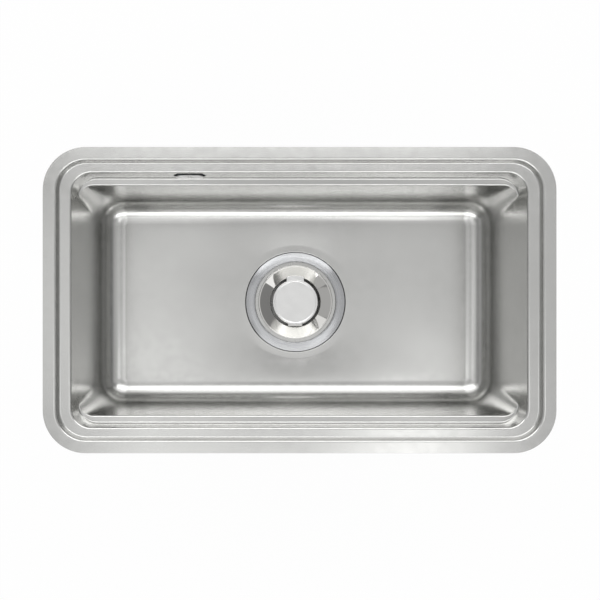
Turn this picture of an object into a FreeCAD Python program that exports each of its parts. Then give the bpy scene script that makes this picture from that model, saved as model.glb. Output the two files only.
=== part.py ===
"""Undermount kitchen sink: pressed bowl, basket waste with bell trap, overflow and swivel clips.

Millimetres, +Z up. The origin is the centre of the rim's top plane, +X runs along the bowl to
the right and +Y to the back wall, which carries the overflow.
"""
import FreeCAD, Part
import math
import os
from FreeCAD import Vector

# Bowl
rim_length = 780.0
rim_width = 465.0
rim_corner_radius = 65.0
sheet = 1.2
rim_flat = 18.6
step_depth = 9.0
step_draft = 4.4
end_ledge = 17.2
side_ledge = 14.3
wall_corner_radius = 31.0
wall_draft_angle = math.radians(1.8)
rail_depth = 46.0
rail_width = 11.8
rail_ease = 2.0
rail_corner_radius = 23.0
bowl_depth = 200.0
floor_fillet = 36.0
floor_corner_round = 4.0
floor_margin = 6.0
floor_corner = 24.0
floor_fall = 5.0
pressed_radius = 2.6

# Waste: flange, strainer and trap, all about the vertical axis through the origin
flange_radius = 90.0
flange_edge = 0.9
flange_crown = 2.2
flange_bevel = 7.0
throat_radius = 74.0
throat_lip = 1.4
neck_wall = 2.0
neck_length = 44.0
seat_recess = 2.6
seat_flare = 1.6
waste_surround = 12.0
shelf_drop = 8.0
shelf_width = 7.5
shelf_thickness = 2.0
basket_rim = 1.0
basket_shelf_play = 2.5
basket_wall = 0.8
basket_depth = 78.0
basket_taper = 10.0
hole_radius = 2.5
hole_pitch = 11.0
funnel_wall = 1.0
funnel_outer_radius = 67.5
funnel_inner_radius = 46.0
funnel_slope = math.radians(30.0)
funnel_rise = 6.4
funnel_throat = 5.0
funnel_bead = 0.5
cap_radius = 41.5
cap_wall = 1.0
cap_skirt = 8.0
cap_rounding = 1.6
cap_tab_width = 30.0
cap_tab_reach = 48.5
lug_width = 26.0
lug_depth = 8.0
lug_thickness = 1.0
gasket = 1.0
underside_gasket = 3.0
body_gasket = 3.0
lock_nut_height = 12.0
lock_nut_rim = 12.0
coupling_nut_wall = 9.0
coupling_nut_grip = 18.0
coupling_nut_lip = 4.5
nut_ribs = 12
nut_lip_share = 0.5
nut_rib_radius = 2.5
trap_shoulder = 5.6
trap_wall = 3.0
trap_flange = 4.0
trap_depth = 120.0
trap_waist_radius = 60.0
trap_waist_start = 56.0
trap_waist_length = 25.0
standpipe_radius = 21.0
standpipe_wall = 3.0
standpipe_height = 54.0
bell_radius = 36.0
bell_wall = 2.0
bell_foot_gap = 13.0
bell_headroom = 7.0
bell_rib = 3.0
bell_knob_radius = 8.0
bell_knob_height = 9.0
bell_shoulder = 9.0
spigot_radius = 24.0
spigot_length = 30.0
outlet_nut_wall = 7.0
outlet_nut_grip = 20.0
outlet_nut_lip = 4.0
outlet_nut_gap = 2.0
outlet_washer = 2.5
tail_radius = 20.0
tail_wall = 1.8
tail_flange = 3.0
tail_collar = 1.0
tail_free_length = 50.0

# Overflow in the back wall
overflow_x = -170.0
overflow_drop = 27.5
overflow_slot_length = 50.0
overflow_slot_height = 20.0
overflow_cover_length = 43.0
overflow_cover_height = 17.0
overflow_cover_thickness = 1.5
overflow_cover_stand = 1.6
overflow_post_radius = 4.0
overflow_screw_radius = 2.0
overflow_screw_head = 3.6
overflow_screw_dome = 1.4
overflow_screw_slope = 0.6
overflow_screw_slot = 0.8
overflow_screw_length = 12.0
elbow_length = 62.0
elbow_height = 32.0
elbow_depth = 24.0
elbow_wall = 2.5
elbow_post_overlap = 0.5
elbow_gasket = 1.5
hose_nipple_radius = 9.2
hose_nipple_wall = 1.6
hose_nipple_length = 18.0
hose_collar_radius = 13.0
hose_collar = 5.0
hose_bore_radius = 9.5
hose_root_radius = 10.8
hose_crest_radius = 12.5
hose_rib_pitch = 5.0
hose_rib_slope = 0.25
hose_bend_radius = 130.0
hose_band_width = 9.0
hose_band_thickness = 1.2
inlet_drop = 32.0
inlet_reach = 18.0

# Swivel clips under the rim
clip_length = 62.0
clip_width = 13.0
clip_thickness = 2.5
clip_stud_radius = 2.5
clip_stud_length = 14.0
clip_washer_radius = 5.5
clip_washer = 1.0
clip_nut_flats = 8.0
clip_nut_height = 5.0
clip_hole_radius = 2.3
clip_end_distance = 140.0
clip_hole_spacing = 16.0

# Sound-deadening pads
pad_thickness = 3.0
pad_inset = 18.0
pad_waste_gap = 14.0

# Clearances
seat_gap = 0.3
thread_fit = 0.08
pivot_fit = 0.1
hole_clearance = 0.6
slip_clearance = 0.5


class Outline:
    """Rounded rectangle about the bowl's centre, by its half length, half width and corner radius."""

    def __init__(self, half_x, half_y, radius):
        self.half_x = half_x
        self.half_y = half_y
        self.radius = radius

    def grown(self, by):
        return Outline(self.half_x + by, self.half_y + by, self.radius + by)

    def wire(self, z):
        """Eight edges, the straight sides and the corner arcs in turn, at height z."""
        flat_x = self.half_x - self.radius
        flat_y = self.half_y - self.radius
        edges = []
        for turn, (corner_x, corner_y) in enumerate(
            ((flat_x, -flat_y), (flat_x, flat_y), (-flat_x, flat_y), (-flat_x, -flat_y))
        ):
            start = math.radians(90.0 * turn - 90.0)
            arc = [
                Vector(
                    corner_x + self.radius * math.cos(start + step * math.pi / 4.0),
                    corner_y + self.radius * math.sin(start + step * math.pi / 4.0),
                    z,
                )
                for step in range(3)
            ]
            if edges:
                edges.append(Part.LineSegment(last_point, arc[0]).toShape())
            else:
                first_point = arc[0]
            edges.append(Part.Arc(arc[0], arc[1], arc[2]).toShape())
            last_point = arc[2]
        edges.append(Part.LineSegment(last_point, first_point).toShape())
        return Part.Wire(edges)

    def distance(self, point):
        """Signed distance of a point from the outline, seen from above."""
        past_x = abs(point.x) - (self.half_x - self.radius)
        past_y = abs(point.y) - (self.half_y - self.radius)
        outside = math.hypot(max(past_x, 0.0), max(past_y, 0.0))
        return outside + min(max(past_x, past_y), 0.0) - self.radius


# Heights and outlines that follow from the driving dimensions
floor_z = -bowl_depth
waste_floor_z = floor_z - floor_fall
seat_z = waste_floor_z - seat_recess
sink_underside_z = seat_z - sheet
flange_bottom_z = seat_z + gasket
flange_top_z = flange_bottom_z + flange_edge + flange_crown
neck_radius = throat_radius + neck_wall
neck_end_z = flange_bottom_z - neck_length
waste_hole_radius = neck_radius + hole_clearance
shelf_z = flange_top_z - shelf_drop
shelf_inner_radius = throat_radius - shelf_width
basket_top_z = shelf_z + basket_rim
basket_radius = shelf_inner_radius - basket_shelf_play
basket_bottom_z = shelf_z - basket_depth
basket_foot_radius = basket_radius - basket_taper
funnel_top_z = basket_top_z + funnel_rise
funnel_cone_drop = (funnel_outer_radius - funnel_wall - funnel_inner_radius) * math.tan(funnel_slope)
funnel_inner_z = funnel_top_z - funnel_cone_drop
lug_top_z = funnel_inner_z - funnel_throat
cap_top_z = lug_top_z + cap_skirt
lock_nut_top_z = sink_underside_z - underside_gasket
coupling_nut_top_z = neck_end_z + coupling_nut_grip
trap_top_z = neck_end_z - body_gasket
trap_flange_radius = neck_radius - slip_clearance
trap_radius = trap_flange_radius - trap_shoulder
trap_bottom_z = trap_top_z - trap_depth
standpipe_top_z = trap_bottom_z + trap_wall + standpipe_height
bell_top_z = standpipe_top_z + bell_headroom + bell_wall
bell_foot_z = trap_bottom_z + trap_wall + bell_foot_gap
spigot_end_z = trap_bottom_z - spigot_length
tail_top_z = spigot_end_z - outlet_washer
outlet_nut_low_z = tail_top_z - tail_flange - outlet_nut_lip
tail_free_z = outlet_nut_low_z - outlet_nut_gap
inlet_z = trap_top_z - inlet_drop

rim_outline = Outline(rim_length / 2.0, rim_width / 2.0, rim_corner_radius)
step_top = rim_outline.grown(-rim_flat)
step_foot = step_top.grown(-step_draft)
upper_top = Outline(step_foot.half_x - end_ledge, step_foot.half_y - side_ledge, wall_corner_radius)
upper_draft = (rail_depth - rail_ease - step_depth) * math.tan(wall_draft_angle)
upper_foot = upper_top.grown(-upper_draft)
lower_top = Outline(upper_foot.half_x, upper_foot.half_y - rail_width, rail_corner_radius)
lower_draft = (bowl_depth - rail_depth - rail_ease) * math.tan(wall_draft_angle)
lower_foot = Outline(
    lower_top.half_x - lower_draft,
    lower_top.half_y - lower_draft,
    floor_fillet + floor_corner_round,
)
floor_edge = Outline(
    lower_foot.half_x - floor_fillet - floor_margin,
    lower_foot.half_y - floor_fillet - floor_margin,
    floor_corner,
)
waste_edge = Outline(flange_radius + waste_surround, flange_radius + waste_surround, flange_radius)
# The outside of a drafted wall is its inside moved out and down by the sheet's thickness
wall_sheet = sheet * (math.cos(wall_draft_angle) + math.sin(wall_draft_angle))

# The hose runs in the upright plane through the waste's axis and the overflow's nipple
nipple_depth = elbow_gasket + elbow_depth / 2.0
nipple_y = upper_top.half_y + wall_sheet + nipple_depth
nipple_mouth_z = -overflow_drop - elbow_height / 2.0 - hose_collar
inlet_angle = math.atan2(nipple_y, overflow_x)
inlet_direction = Vector(math.cos(inlet_angle), math.sin(inlet_angle), 0.0)
inlet_collar_reach = trap_radius + inlet_reach
hose_run = math.hypot(overflow_x, nipple_y)


def loft(low, low_z, high, high_z):
    """Solid between two outlines, ruled so that its sides stay flat."""
    return Part.makeLoft([low.wire(low_z), high.wire(high_z)], True, True)


def turned(profile):
    """Solid of revolution about the waste's axis from (radius, height) points."""
    points = [Vector(radius, 0.0, z) for radius, z in profile]
    face = Part.Face(Part.makePolygon(points + points[:1]))
    return face.revolve(Vector(0.0, 0.0, 0.0), Vector(0.0, 0.0, 1.0), 360.0)


def ring(inner, outer, low_z, high_z):
    """Flat ring between two radii and two heights."""
    return turned([(inner, low_z), (outer, low_z), (outer, high_z), (inner, high_z)])


def box_between(low, high):
    return Part.makeBox(high[0] - low[0], high[1] - low[1], high[2] - low[2], Vector(*low))


def rounded_edges(shape, outline, z, radius):
    """Round every level edge of the shape that lies on the outline at height z."""
    chosen = []
    for edge in shape.Edges:
        level = edge.BoundBox.ZLength < 1e-6 and abs(edge.BoundBox.ZMax - z) < 1e-6
        middle = edge.valueAt((edge.FirstParameter + edge.LastParameter) / 2.0)
        if level and abs(outline.distance(middle)) < 0.01:
            chosen.append(edge)
    return shape.makeFillet(radius, chosen)


def rail_eased(outline, by):
    """The rail's edge moved along Y alone, because the rail runs out at the short walls."""
    return Outline(outline.half_x, outline.half_y + by, outline.radius + by)


def lower_basin(growth):
    """The space below the rails, before the floor's edge is rounded."""
    return loft(
        lower_foot.grown(growth),
        floor_z - growth,
        lower_top.grown(growth),
        -rail_depth - rail_ease - growth,
    )


def basin(growth):
    """The space inside the bowl, grown outward and downward by a thickness of sheet."""
    step = loft(step_foot.grown(growth), -step_depth - growth, step_top.grown(growth), 0.0)
    upper = loft(
        upper_foot.grown(growth),
        -rail_depth + rail_ease - growth,
        upper_top.grown(growth),
        -step_depth - growth,
    )
    ease_top = loft(
        rail_eased(upper_foot.grown(growth), -rail_ease),
        -rail_depth - growth,
        upper_foot.grown(growth),
        -rail_depth + rail_ease - growth,
    )
    ease_foot = loft(
        lower_top.grown(growth),
        -rail_depth - rail_ease - growth,
        rail_eased(lower_top.grown(growth), rail_ease),
        -rail_depth - growth,
    )
    lower = lower_basin(growth)
    lower = rounded_edges(lower, lower_foot.grown(growth), floor_z - growth, floor_fillet + growth)
    fall = loft(waste_edge, waste_floor_z - growth, floor_edge, floor_z - growth)
    recess = Part.makeCone(
        flange_radius + slip_clearance + growth,
        flange_radius + slip_clearance + seat_flare + growth,
        seat_recess,
        Vector(0.0, 0.0, seat_z - growth),
    )
    space = step.fuse([upper, ease_top, ease_foot, lower, fall, recess]).removeSplitter()
    space = rounded_edges(
        space, step_foot.grown(growth), -step_depth - growth, pressed_radius + growth
    )
    return rounded_edges(
        space, upper_top.grown(growth), -step_depth - growth, max(pressed_radius - growth, sheet / 2.0)
    )


def overflow_placed(shape):
    """Lean a piece made on a plane Y = 0 onto the drafted back wall, at the overflow's centre."""
    wall_y = upper_top.half_y - (overflow_drop - step_depth) * math.tan(wall_draft_angle)
    placed = shape.copy()
    placed.rotate(Vector(0.0, 0.0, 0.0), Vector(1.0, 0.0, 0.0), -math.degrees(wall_draft_angle))
    placed.translate(Vector(overflow_x, wall_y, -overflow_drop))
    return placed


def stadium(length, height, low_y, high_y):
    """Slot-shaped prism with round ends, along X, from one depth to another."""
    radius = height / 2.0
    reach = length / 2.0 - radius
    body = box_between((-reach, low_y, -radius), (reach, high_y, radius))
    ends = [
        Part.makeCylinder(radius, high_y - low_y, Vector(side * reach, low_y, 0.0), Vector(0.0, 1.0, 0.0))
        for side in (-1.0, 1.0)
    ]
    return body.fuse(ends).removeSplitter()


def bowl():
    """Pressed and drawn bowl with its rim, ledges, rails, waste hole and overflow slot."""
    rim = loft(rim_outline, -sheet, rim_outline, 0.0)
    shell = rim.fuse(basin(sheet)).removeSplitter()
    headroom = loft(rim_outline, 0.0, rim_outline, pressed_radius * 2.0)
    space = headroom.fuse(basin(0.0)).removeSplitter()
    space = rounded_edges(space, step_top, 0.0, pressed_radius)
    shell = shell.cut(space)
    waste_hole = Part.makeCylinder(
        waste_hole_radius, seat_recess + 2.0 * sheet, Vector(0.0, 0.0, sink_underside_z - sheet)
    )
    slot = overflow_placed(
        stadium(overflow_slot_length, overflow_slot_height, -sheet, 2.0 * sheet)
    )
    return shell.cut([waste_hole, slot])


def wall_pad(low, high):
    """Pad on a long or short wall: a layer that follows the drafted wall within a box."""
    return box_between(low, high).common(lower_basin(sheet + pad_thickness)).cut(lower_basin(sheet))


def wall_pads():
    """Four pads, one on the flat of each wall."""
    top = -rail_depth - rail_ease - sheet - pad_inset
    foot = floor_z + floor_fillet + pad_inset
    flat_x = lower_foot.half_x - floor_fillet - floor_corner_round - pad_inset
    flat_y = lower_foot.half_y - floor_fillet - floor_corner_round - pad_inset
    far_x = rim_length
    far_y = rim_width
    return {
        "pad_front_wall": wall_pad((-flat_x, -far_y, foot), (flat_x, 0.0, top)),
        "pad_back_wall": wall_pad((-flat_x, 0.0, foot), (flat_x, far_y, top)),
        "pad_left_wall": wall_pad((-far_x, -flat_y, foot), (0.0, flat_y, top)),
        "pad_right_wall": wall_pad((0.0, -flat_y, foot), (far_x, flat_y, top)),
    }


def floor_pad(side):
    """Pad under the floor on one side of the waste, lying on the falling floor."""
    near = loft(waste_edge, waste_floor_z - sheet, floor_edge, floor_z - sheet)
    far = loft(
        waste_edge, waste_floor_z - sheet - pad_thickness, floor_edge, floor_z - sheet - pad_thickness
    )
    inner = waste_edge.half_x + pad_waste_gap
    outer = floor_edge.half_x - pad_inset
    half_y = floor_edge.half_y - pad_inset
    block = box_between(
        (min(side * inner, side * outer), -half_y, waste_floor_z - sheet - 2.0 * pad_thickness),
        (max(side * inner, side * outer), half_y, floor_z - sheet),
    )
    filled = near.fuse(box_between(
        (-rim_length, -rim_width, floor_z - sheet), (rim_length, rim_width, floor_z)
    ))
    layer = far.fuse(box_between(
        (-rim_length, -rim_width, floor_z - sheet - pad_thickness), (rim_length, rim_width, floor_z - sheet)
    ))
    return block.common(layer).cut(filled)


def drain_flange():
    """Polished flange with its throat, the shelf that carries the basket and the threaded neck."""
    return turned([
        (neck_radius, flange_bottom_z),
        (flange_radius, flange_bottom_z),
        (flange_radius, flange_bottom_z + flange_edge),
        (flange_radius - flange_bevel, flange_top_z),
        (throat_radius + throat_lip, flange_top_z),
        (throat_radius + 0.3 * throat_lip, flange_top_z - 0.3 * throat_lip),
        (throat_radius, flange_top_z - throat_lip),
        (throat_radius, shelf_z),
        (shelf_inner_radius, shelf_z),
        (shelf_inner_radius, shelf_z - shelf_thickness),
        (throat_radius, shelf_z - shelf_thickness),
        (throat_radius, neck_end_z),
        (neck_radius, neck_end_z),
    ])


def perforation_rows(top_z, bottom_z):
    """Heights of the rows of holes in the basket's side."""
    count = int((top_z - bottom_z) / hole_pitch)
    margin = (top_z - bottom_z - (count - 1) * hole_pitch) / 2.0
    return [bottom_z + margin + row * hole_pitch for row in range(count)]


def basket_perforations():
    """Round holes in the basket's side, in rows, and in its bottom, in rings."""
    holes = []
    side_count = int(2.0 * math.pi * basket_foot_radius / hole_pitch)
    for row, z in enumerate(perforation_rows(shelf_z - hole_pitch, basket_bottom_z)):
        for index in range(side_count):
            angle = 2.0 * math.pi * (index + 0.5 * (row % 2)) / side_count
            outward = Vector(math.cos(angle), math.sin(angle), 0.0)
            start = outward * (basket_foot_radius / 2.0) + Vector(0.0, 0.0, z)
            holes.append(Part.makeCylinder(hole_radius, basket_radius, start, outward))
    ring_count = int((basket_foot_radius - hole_pitch) / hole_pitch)
    for ring_index in range(1, ring_count + 1):
        for index in range(6 * ring_index):
            angle = 2.0 * math.pi * index / (6 * ring_index)
            radius = ring_index * hole_pitch
            start = Vector(radius * math.cos(angle), radius * math.sin(angle), basket_bottom_z - 1.0)
            holes.append(Part.makeCylinder(hole_radius, basket_wall + 2.0, start))
    return holes


def strainer_basket():
    """Perforated basket that hangs by its rim from the shelf in the throat."""
    cup = turned([
        (0.0, basket_bottom_z),
        (basket_foot_radius, basket_bottom_z),
        (basket_radius, shelf_z),
        (throat_radius - slip_clearance, shelf_z),
        (throat_radius - slip_clearance, basket_top_z),
        (basket_radius - basket_wall, basket_top_z),
        (basket_foot_radius - basket_wall, basket_bottom_z + basket_wall),
        (0.0, basket_bottom_z + basket_wall),
    ])
    return cup.cut(basket_perforations())


def strainer_funnel():
    """Mirror-polished funnel on the basket's rim, with two lugs that carry the cap."""
    outer = funnel_outer_radius
    inner = funnel_inner_radius
    shell = turned([
        (outer - funnel_wall, basket_top_z),
        (outer, basket_top_z),
        (outer, funnel_top_z - funnel_bead),
        (outer - funnel_bead, funnel_top_z),
        (outer - funnel_wall, funnel_top_z),
        (inner, funnel_inner_z),
        (inner, lug_top_z - lug_thickness),
        (inner + funnel_wall, lug_top_z - lug_thickness),
        (inner + funnel_wall, funnel_inner_z - funnel_wall),
        (outer - funnel_wall, funnel_top_z - funnel_wall / math.cos(funnel_slope)),
    ])
    bore = Part.makeCylinder(
        inner - lug_depth, 3.0 * lug_thickness, Vector(0.0, 0.0, lug_top_z - 2.0 * lug_thickness)
    )
    reach = box_between(
        (-lug_width / 2.0, -inner, lug_top_z - lug_thickness), (lug_width / 2.0, inner, lug_top_z)
    )
    limit = Part.makeCylinder(
        inner + funnel_wall / 2.0, lug_thickness, Vector(0.0, 0.0, lug_top_z - lug_thickness)
    )
    lugs = reach.common(limit).cut(bore)
    return shell.fuse(lugs).removeSplitter()


def strainer_cap():
    """Flat cap over the funnel's opening: a shallow cover with a skirt, a tab and a notch."""
    cover = turned([
        (0.0, cap_top_z - cap_wall),
        (cap_radius - cap_wall, cap_top_z - cap_wall),
        (cap_radius - cap_wall, lug_top_z),
        (cap_radius, lug_top_z),
        (cap_radius, cap_top_z - cap_rounding),
        (cap_radius - 0.3 * cap_rounding, cap_top_z - 0.3 * cap_rounding),
        (cap_radius - cap_rounding, cap_top_z),
        (0.0, cap_top_z),
    ])
    tab_low_z = funnel_inner_z + (cap_tab_reach - funnel_inner_radius) * math.tan(funnel_slope)
    tab_base_z = max(tab_low_z, cap_top_z - cap_rounding - cap_wall)
    tab = box_between(
        (-cap_tab_width / 2.0, 0.0, tab_base_z + seat_gap),
        (cap_tab_width / 2.0, cap_tab_reach, tab_base_z + seat_gap + cap_wall),
    )
    below = Vector(0.0, 0.0, cap_top_z - cap_skirt)
    tab = tab.common(Part.makeCylinder(cap_tab_reach, 2.0 * cap_skirt, below))
    tab = tab.cut(Part.makeCylinder(cap_radius - cap_wall, 2.0 * cap_skirt, below))
    notch = box_between(
        (-cap_tab_width / 2.0, -cap_radius - cap_wall, cap_top_z - cap_rounding),
        (cap_tab_width / 2.0, -cap_radius + cap_rounding, cap_top_z + cap_wall),
    )
    return cover.fuse(tab).cut(notch).removeSplitter()


def ribbed_nut(bore, outer, low_z, high_z):
    """Ring nut with round grip ribs about its outside."""
    body = ring(bore, outer, low_z, high_z)
    ribs = []
    for index in range(nut_ribs):
        angle = 2.0 * math.pi * index / nut_ribs
        place = Vector(outer * math.cos(angle), outer * math.sin(angle), low_z)
        ribs.append(Part.makeCylinder(nut_rib_radius, high_z - low_z, place))
    core = Part.makeCylinder(bore, high_z - low_z, Vector(0.0, 0.0, low_z))
    return body.fuse([rib.cut(core) for rib in ribs]).removeSplitter()


def lipped_nut(thread, bore, outer, low_z, lip, high_z):
    """Ribbed ring nut with an inward lip at its foot."""
    lip_ring = ring(bore, thread + nut_lip_share * (outer - thread), low_z, low_z + lip)
    return ribbed_nut(thread, outer, low_z, high_z).fuse(lip_ring).removeSplitter()


def trap_body():
    """Trap body: flange, waisted pot, overflow inlet, standpipe and outlet spigot in one moulding."""
    waist_top_z = trap_top_z - trap_waist_start
    waist_foot_z = waist_top_z - trap_waist_length
    floor_top_z = trap_bottom_z + trap_wall
    pipe_bore = standpipe_radius - standpipe_wall
    pot = turned([
        (trap_radius - trap_wall, trap_top_z),
        (trap_flange_radius, trap_top_z),
        (trap_flange_radius, trap_top_z - trap_flange),
        (trap_radius, trap_top_z - trap_flange),
        (trap_radius, waist_top_z),
        (trap_waist_radius, waist_foot_z),
        (trap_waist_radius, trap_bottom_z),
        (spigot_radius, trap_bottom_z),
        (spigot_radius, spigot_end_z),
        (pipe_bore, spigot_end_z),
        (pipe_bore, standpipe_top_z),
        (standpipe_radius, standpipe_top_z),
        (standpipe_radius, floor_top_z),
        (trap_waist_radius - trap_wall, floor_top_z),
        (trap_waist_radius - trap_wall, waist_foot_z),
        (trap_radius - trap_wall, waist_top_z),
    ])
    inside = Part.makeCylinder(
        trap_radius - trap_wall, trap_waist_start, Vector(0.0, 0.0, waist_top_z)
    )
    collar = hose_socket(trap_radius - trap_wall, inlet_collar_reach)
    bore = inlet_cylinder(
        hose_nipple_radius - hose_nipple_wall, 0.0, inlet_collar_reach + hose_nipple_length
    )
    return pot.fuse(collar.cut(inside)).cut(bore).removeSplitter()


def inlet_cylinder(radius, start, end):
    """Cylinder on the trap's inlet axis, between two distances from the waste's axis."""
    return Part.makeCylinder(
        radius, end - start, inlet_direction * start + Vector(0.0, 0.0, inlet_z), inlet_direction
    )


def hose_socket(start, face):
    """Collar and nipple of the trap's overflow inlet."""
    collar = inlet_cylinder(hose_collar_radius, start, face)
    nipple = inlet_cylinder(hose_nipple_radius, start, face + hose_nipple_length)
    return collar.fuse(nipple)


def bell_trap():
    """Bell that stands over the standpipe on its cross ribs and holds the water seal."""
    shell = turned([
        (bell_radius - bell_wall, bell_foot_z),
        (bell_radius, bell_foot_z),
        (bell_radius, bell_top_z - bell_shoulder),
        (bell_radius - bell_shoulder, bell_top_z),
        (bell_knob_radius, bell_top_z),
        (bell_knob_radius, bell_top_z + bell_knob_height),
        (0.0, bell_top_z + bell_knob_height),
        (0.0, bell_top_z - bell_wall),
        (bell_radius - bell_shoulder - bell_wall / 2.0, bell_top_z - bell_wall),
        (bell_radius - bell_wall, bell_top_z - bell_shoulder),
    ])
    reach = bell_radius - bell_shoulder - bell_wall
    half = bell_rib / 2.0
    ceiling_z = bell_top_z - bell_wall
    ribs = [
        box_between((-reach, -half, standpipe_top_z), (reach, half, ceiling_z)),
        box_between((-half, -reach, standpipe_top_z), (half, reach, ceiling_z)),
    ]
    return shell.fuse(ribs).removeSplitter()


def tail_pipe():
    """Plain tail of the outlet, held by its flange in the outlet nut."""
    bore = tail_radius - tail_wall
    flange = spigot_radius - slip_clearance
    return turned([
        (bore, tail_top_z),
        (flange, tail_top_z),
        (flange, tail_top_z - tail_flange),
        (tail_radius + tail_collar, tail_top_z - tail_flange),
        (tail_radius + tail_collar, tail_free_z),
        (tail_radius, tail_free_z),
        (tail_radius, tail_free_z - tail_free_length),
        (bore, tail_free_z - tail_free_length),
    ])


def waste_pieces():
    """Every piece of the waste, by node name."""
    coupling_low_z = trap_top_z - trap_flange - coupling_nut_lip
    return {
        "drain_flange": drain_flange(),
        "flange_gasket": ring(waste_hole_radius, flange_radius - flange_edge, seat_z, flange_bottom_z),
        "underside_gasket": ring(
            waste_hole_radius, neck_radius + lock_nut_rim, lock_nut_top_z, sink_underside_z
        ),
        "lock_nut": ribbed_nut(
            neck_radius + thread_fit,
            neck_radius + lock_nut_rim,
            lock_nut_top_z - lock_nut_height,
            lock_nut_top_z,
        ),
        "coupling_nut": lipped_nut(
            neck_radius + thread_fit,
            trap_radius + slip_clearance,
            neck_radius + coupling_nut_wall,
            coupling_low_z,
            coupling_nut_lip,
            coupling_nut_top_z,
        ),
        "trap_gasket": ring(
            trap_radius - trap_wall, trap_flange_radius, trap_top_z, neck_end_z
        ),
        "trap_body": trap_body(),
        "bell_trap": bell_trap(),
        "strainer_basket": strainer_basket(),
        "strainer_funnel": strainer_funnel(),
        "strainer_cap": strainer_cap(),
        "outlet_washer": ring(
            tail_radius - tail_wall, spigot_radius - slip_clearance, tail_top_z, spigot_end_z
        ),
        "outlet_nut": lipped_nut(
            spigot_radius + thread_fit,
            tail_radius + tail_collar + slip_clearance,
            spigot_radius + outlet_nut_wall,
            outlet_nut_low_z,
            outlet_nut_lip,
            outlet_nut_low_z + outlet_nut_lip + outlet_nut_grip,
        ),
        "tail_pipe": tail_pipe(),
    }


def overflow_elbow():
    """Box behind the wall that gathers the overflow and turns it down into the hose."""
    half = elbow_length / 2.0
    high = elbow_height / 2.0
    back = wall_sheet + elbow_gasket
    block = box_between((-half, back, -high), (half, back + elbow_depth, high))
    hollow = box_between(
        (-half + elbow_wall, back, -high + elbow_wall),
        (half - elbow_wall, back + elbow_depth - elbow_wall, high - elbow_wall),
    )
    post = Part.makeCylinder(
        overflow_post_radius,
        elbow_depth - elbow_wall + elbow_post_overlap,
        Vector(0.0, back, 0.0),
        Vector(0.0, 1.0, 0.0),
    )
    shell = overflow_placed(block.cut(hollow).fuse(post).cut(screw_shank(thread_fit)))
    collar = nipple_cylinder(
        hose_collar_radius, nipple_mouth_z, nipple_mouth_z + hose_collar + elbow_wall / 2.0
    )
    nipple = nipple_cylinder(
        hose_nipple_radius, nipple_mouth_z - hose_nipple_length, nipple_mouth_z + hose_collar
    )
    room = overflow_placed(hollow).cut(overflow_placed(post))
    outlet = collar.fuse(nipple).cut(room)
    bore = nipple_cylinder(
        hose_nipple_radius - hose_nipple_wall,
        nipple_mouth_z - hose_nipple_length,
        nipple_mouth_z + hose_collar + 2.0 * elbow_wall,
    )
    return shell.fuse(outlet).cut(bore.cut(overflow_placed(post))).removeSplitter()


def nipple_cylinder(radius, low_z, high_z):
    """Cylinder on the upright axis of the elbow's nipple."""
    return Part.makeCylinder(radius, high_z - low_z, Vector(overflow_x, nipple_y, low_z))


def screw_shank(clearance):
    """Shank of the overflow's screw, as a pin or, with clearance, as its hole."""
    start = -overflow_cover_stand - overflow_cover_thickness
    return Part.makeCylinder(
        overflow_screw_radius + clearance,
        overflow_screw_length + 5.0 * clearance,
        Vector(0.0, start, 0.0),
        Vector(0.0, 1.0, 0.0),
    )


def overflow_cover():
    """Cover that stands off the wall before the overflow slot, on its central post."""
    front = -overflow_cover_stand - overflow_cover_thickness
    plate = stadium(overflow_cover_length, overflow_cover_height, front, -overflow_cover_stand)
    post = Part.makeCylinder(
        overflow_post_radius,
        overflow_cover_stand + wall_sheet + elbow_gasket,
        Vector(0.0, -overflow_cover_stand, 0.0),
        Vector(0.0, 1.0, 0.0),
    )
    return overflow_placed(plate.fuse(post).cut(screw_shank(pivot_fit)).removeSplitter())


def overflow_screw():
    """Domed screw that draws the cover and the elbow together through the wall."""
    front = -overflow_cover_stand - overflow_cover_thickness
    head = Part.makeCone(
        overflow_screw_head - overflow_screw_slope,
        overflow_screw_head,
        overflow_screw_dome,
        Vector(0.0, front - overflow_screw_dome, 0.0),
        Vector(0.0, 1.0, 0.0),
    )
    half_slot = overflow_screw_slot / 2.0
    slot = box_between(
        (-overflow_screw_head, front - 2.0 * overflow_screw_dome, -half_slot),
        (overflow_screw_head, front - overflow_screw_slot, half_slot),
    )
    return overflow_placed(head.cut(slot).fuse(screw_shank(0.0)).removeSplitter())


def overflow_gasket():
    """Frame-shaped gasket between the wall and the elbow."""
    half = elbow_length / 2.0
    high = elbow_height / 2.0
    plate = box_between((-half, wall_sheet, -high), (half, wall_sheet + elbow_gasket, high))
    window = stadium(overflow_slot_length, overflow_slot_height, 0.0, wall_sheet + 2.0 * elbow_gasket)
    return overflow_placed(plate.cut(window))


def hose_point(distance, z):
    """Point of the hose's plane by its distance from the waste's axis and its height."""
    return inlet_direction * distance + Vector(0.0, 0.0, z)


def hose_station(along):
    """Centre and direction of the hose at a length along it, from the nipple down."""
    bend_top_z = inlet_z + hose_bend_radius
    drop = nipple_mouth_z - bend_top_z
    bend = hose_bend_radius * math.pi / 2.0
    if along <= drop:
        return hose_point(hose_run, nipple_mouth_z - along), Vector(0.0, 0.0, -1.0)
    if along <= drop + bend:
        angle = (along - drop) / hose_bend_radius
        centre = hose_point(hose_run - hose_bend_radius, bend_top_z)
        outward = inlet_direction * math.cos(angle) + Vector(0.0, 0.0, -math.sin(angle))
        heading = inlet_direction * -math.sin(angle) + Vector(0.0, 0.0, -math.cos(angle))
        return centre + outward * hose_bend_radius, heading
    rest = along - drop - bend
    return hose_point(hose_run - hose_bend_radius - rest, inlet_z), inlet_direction * -1.0


def hose_length():
    """Length of the hose's centre line between the two collars."""
    drop = nipple_mouth_z - inlet_z - hose_bend_radius
    straight = hose_run - hose_bend_radius - inlet_collar_reach
    return drop + hose_bend_radius * math.pi / 2.0 + straight


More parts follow.
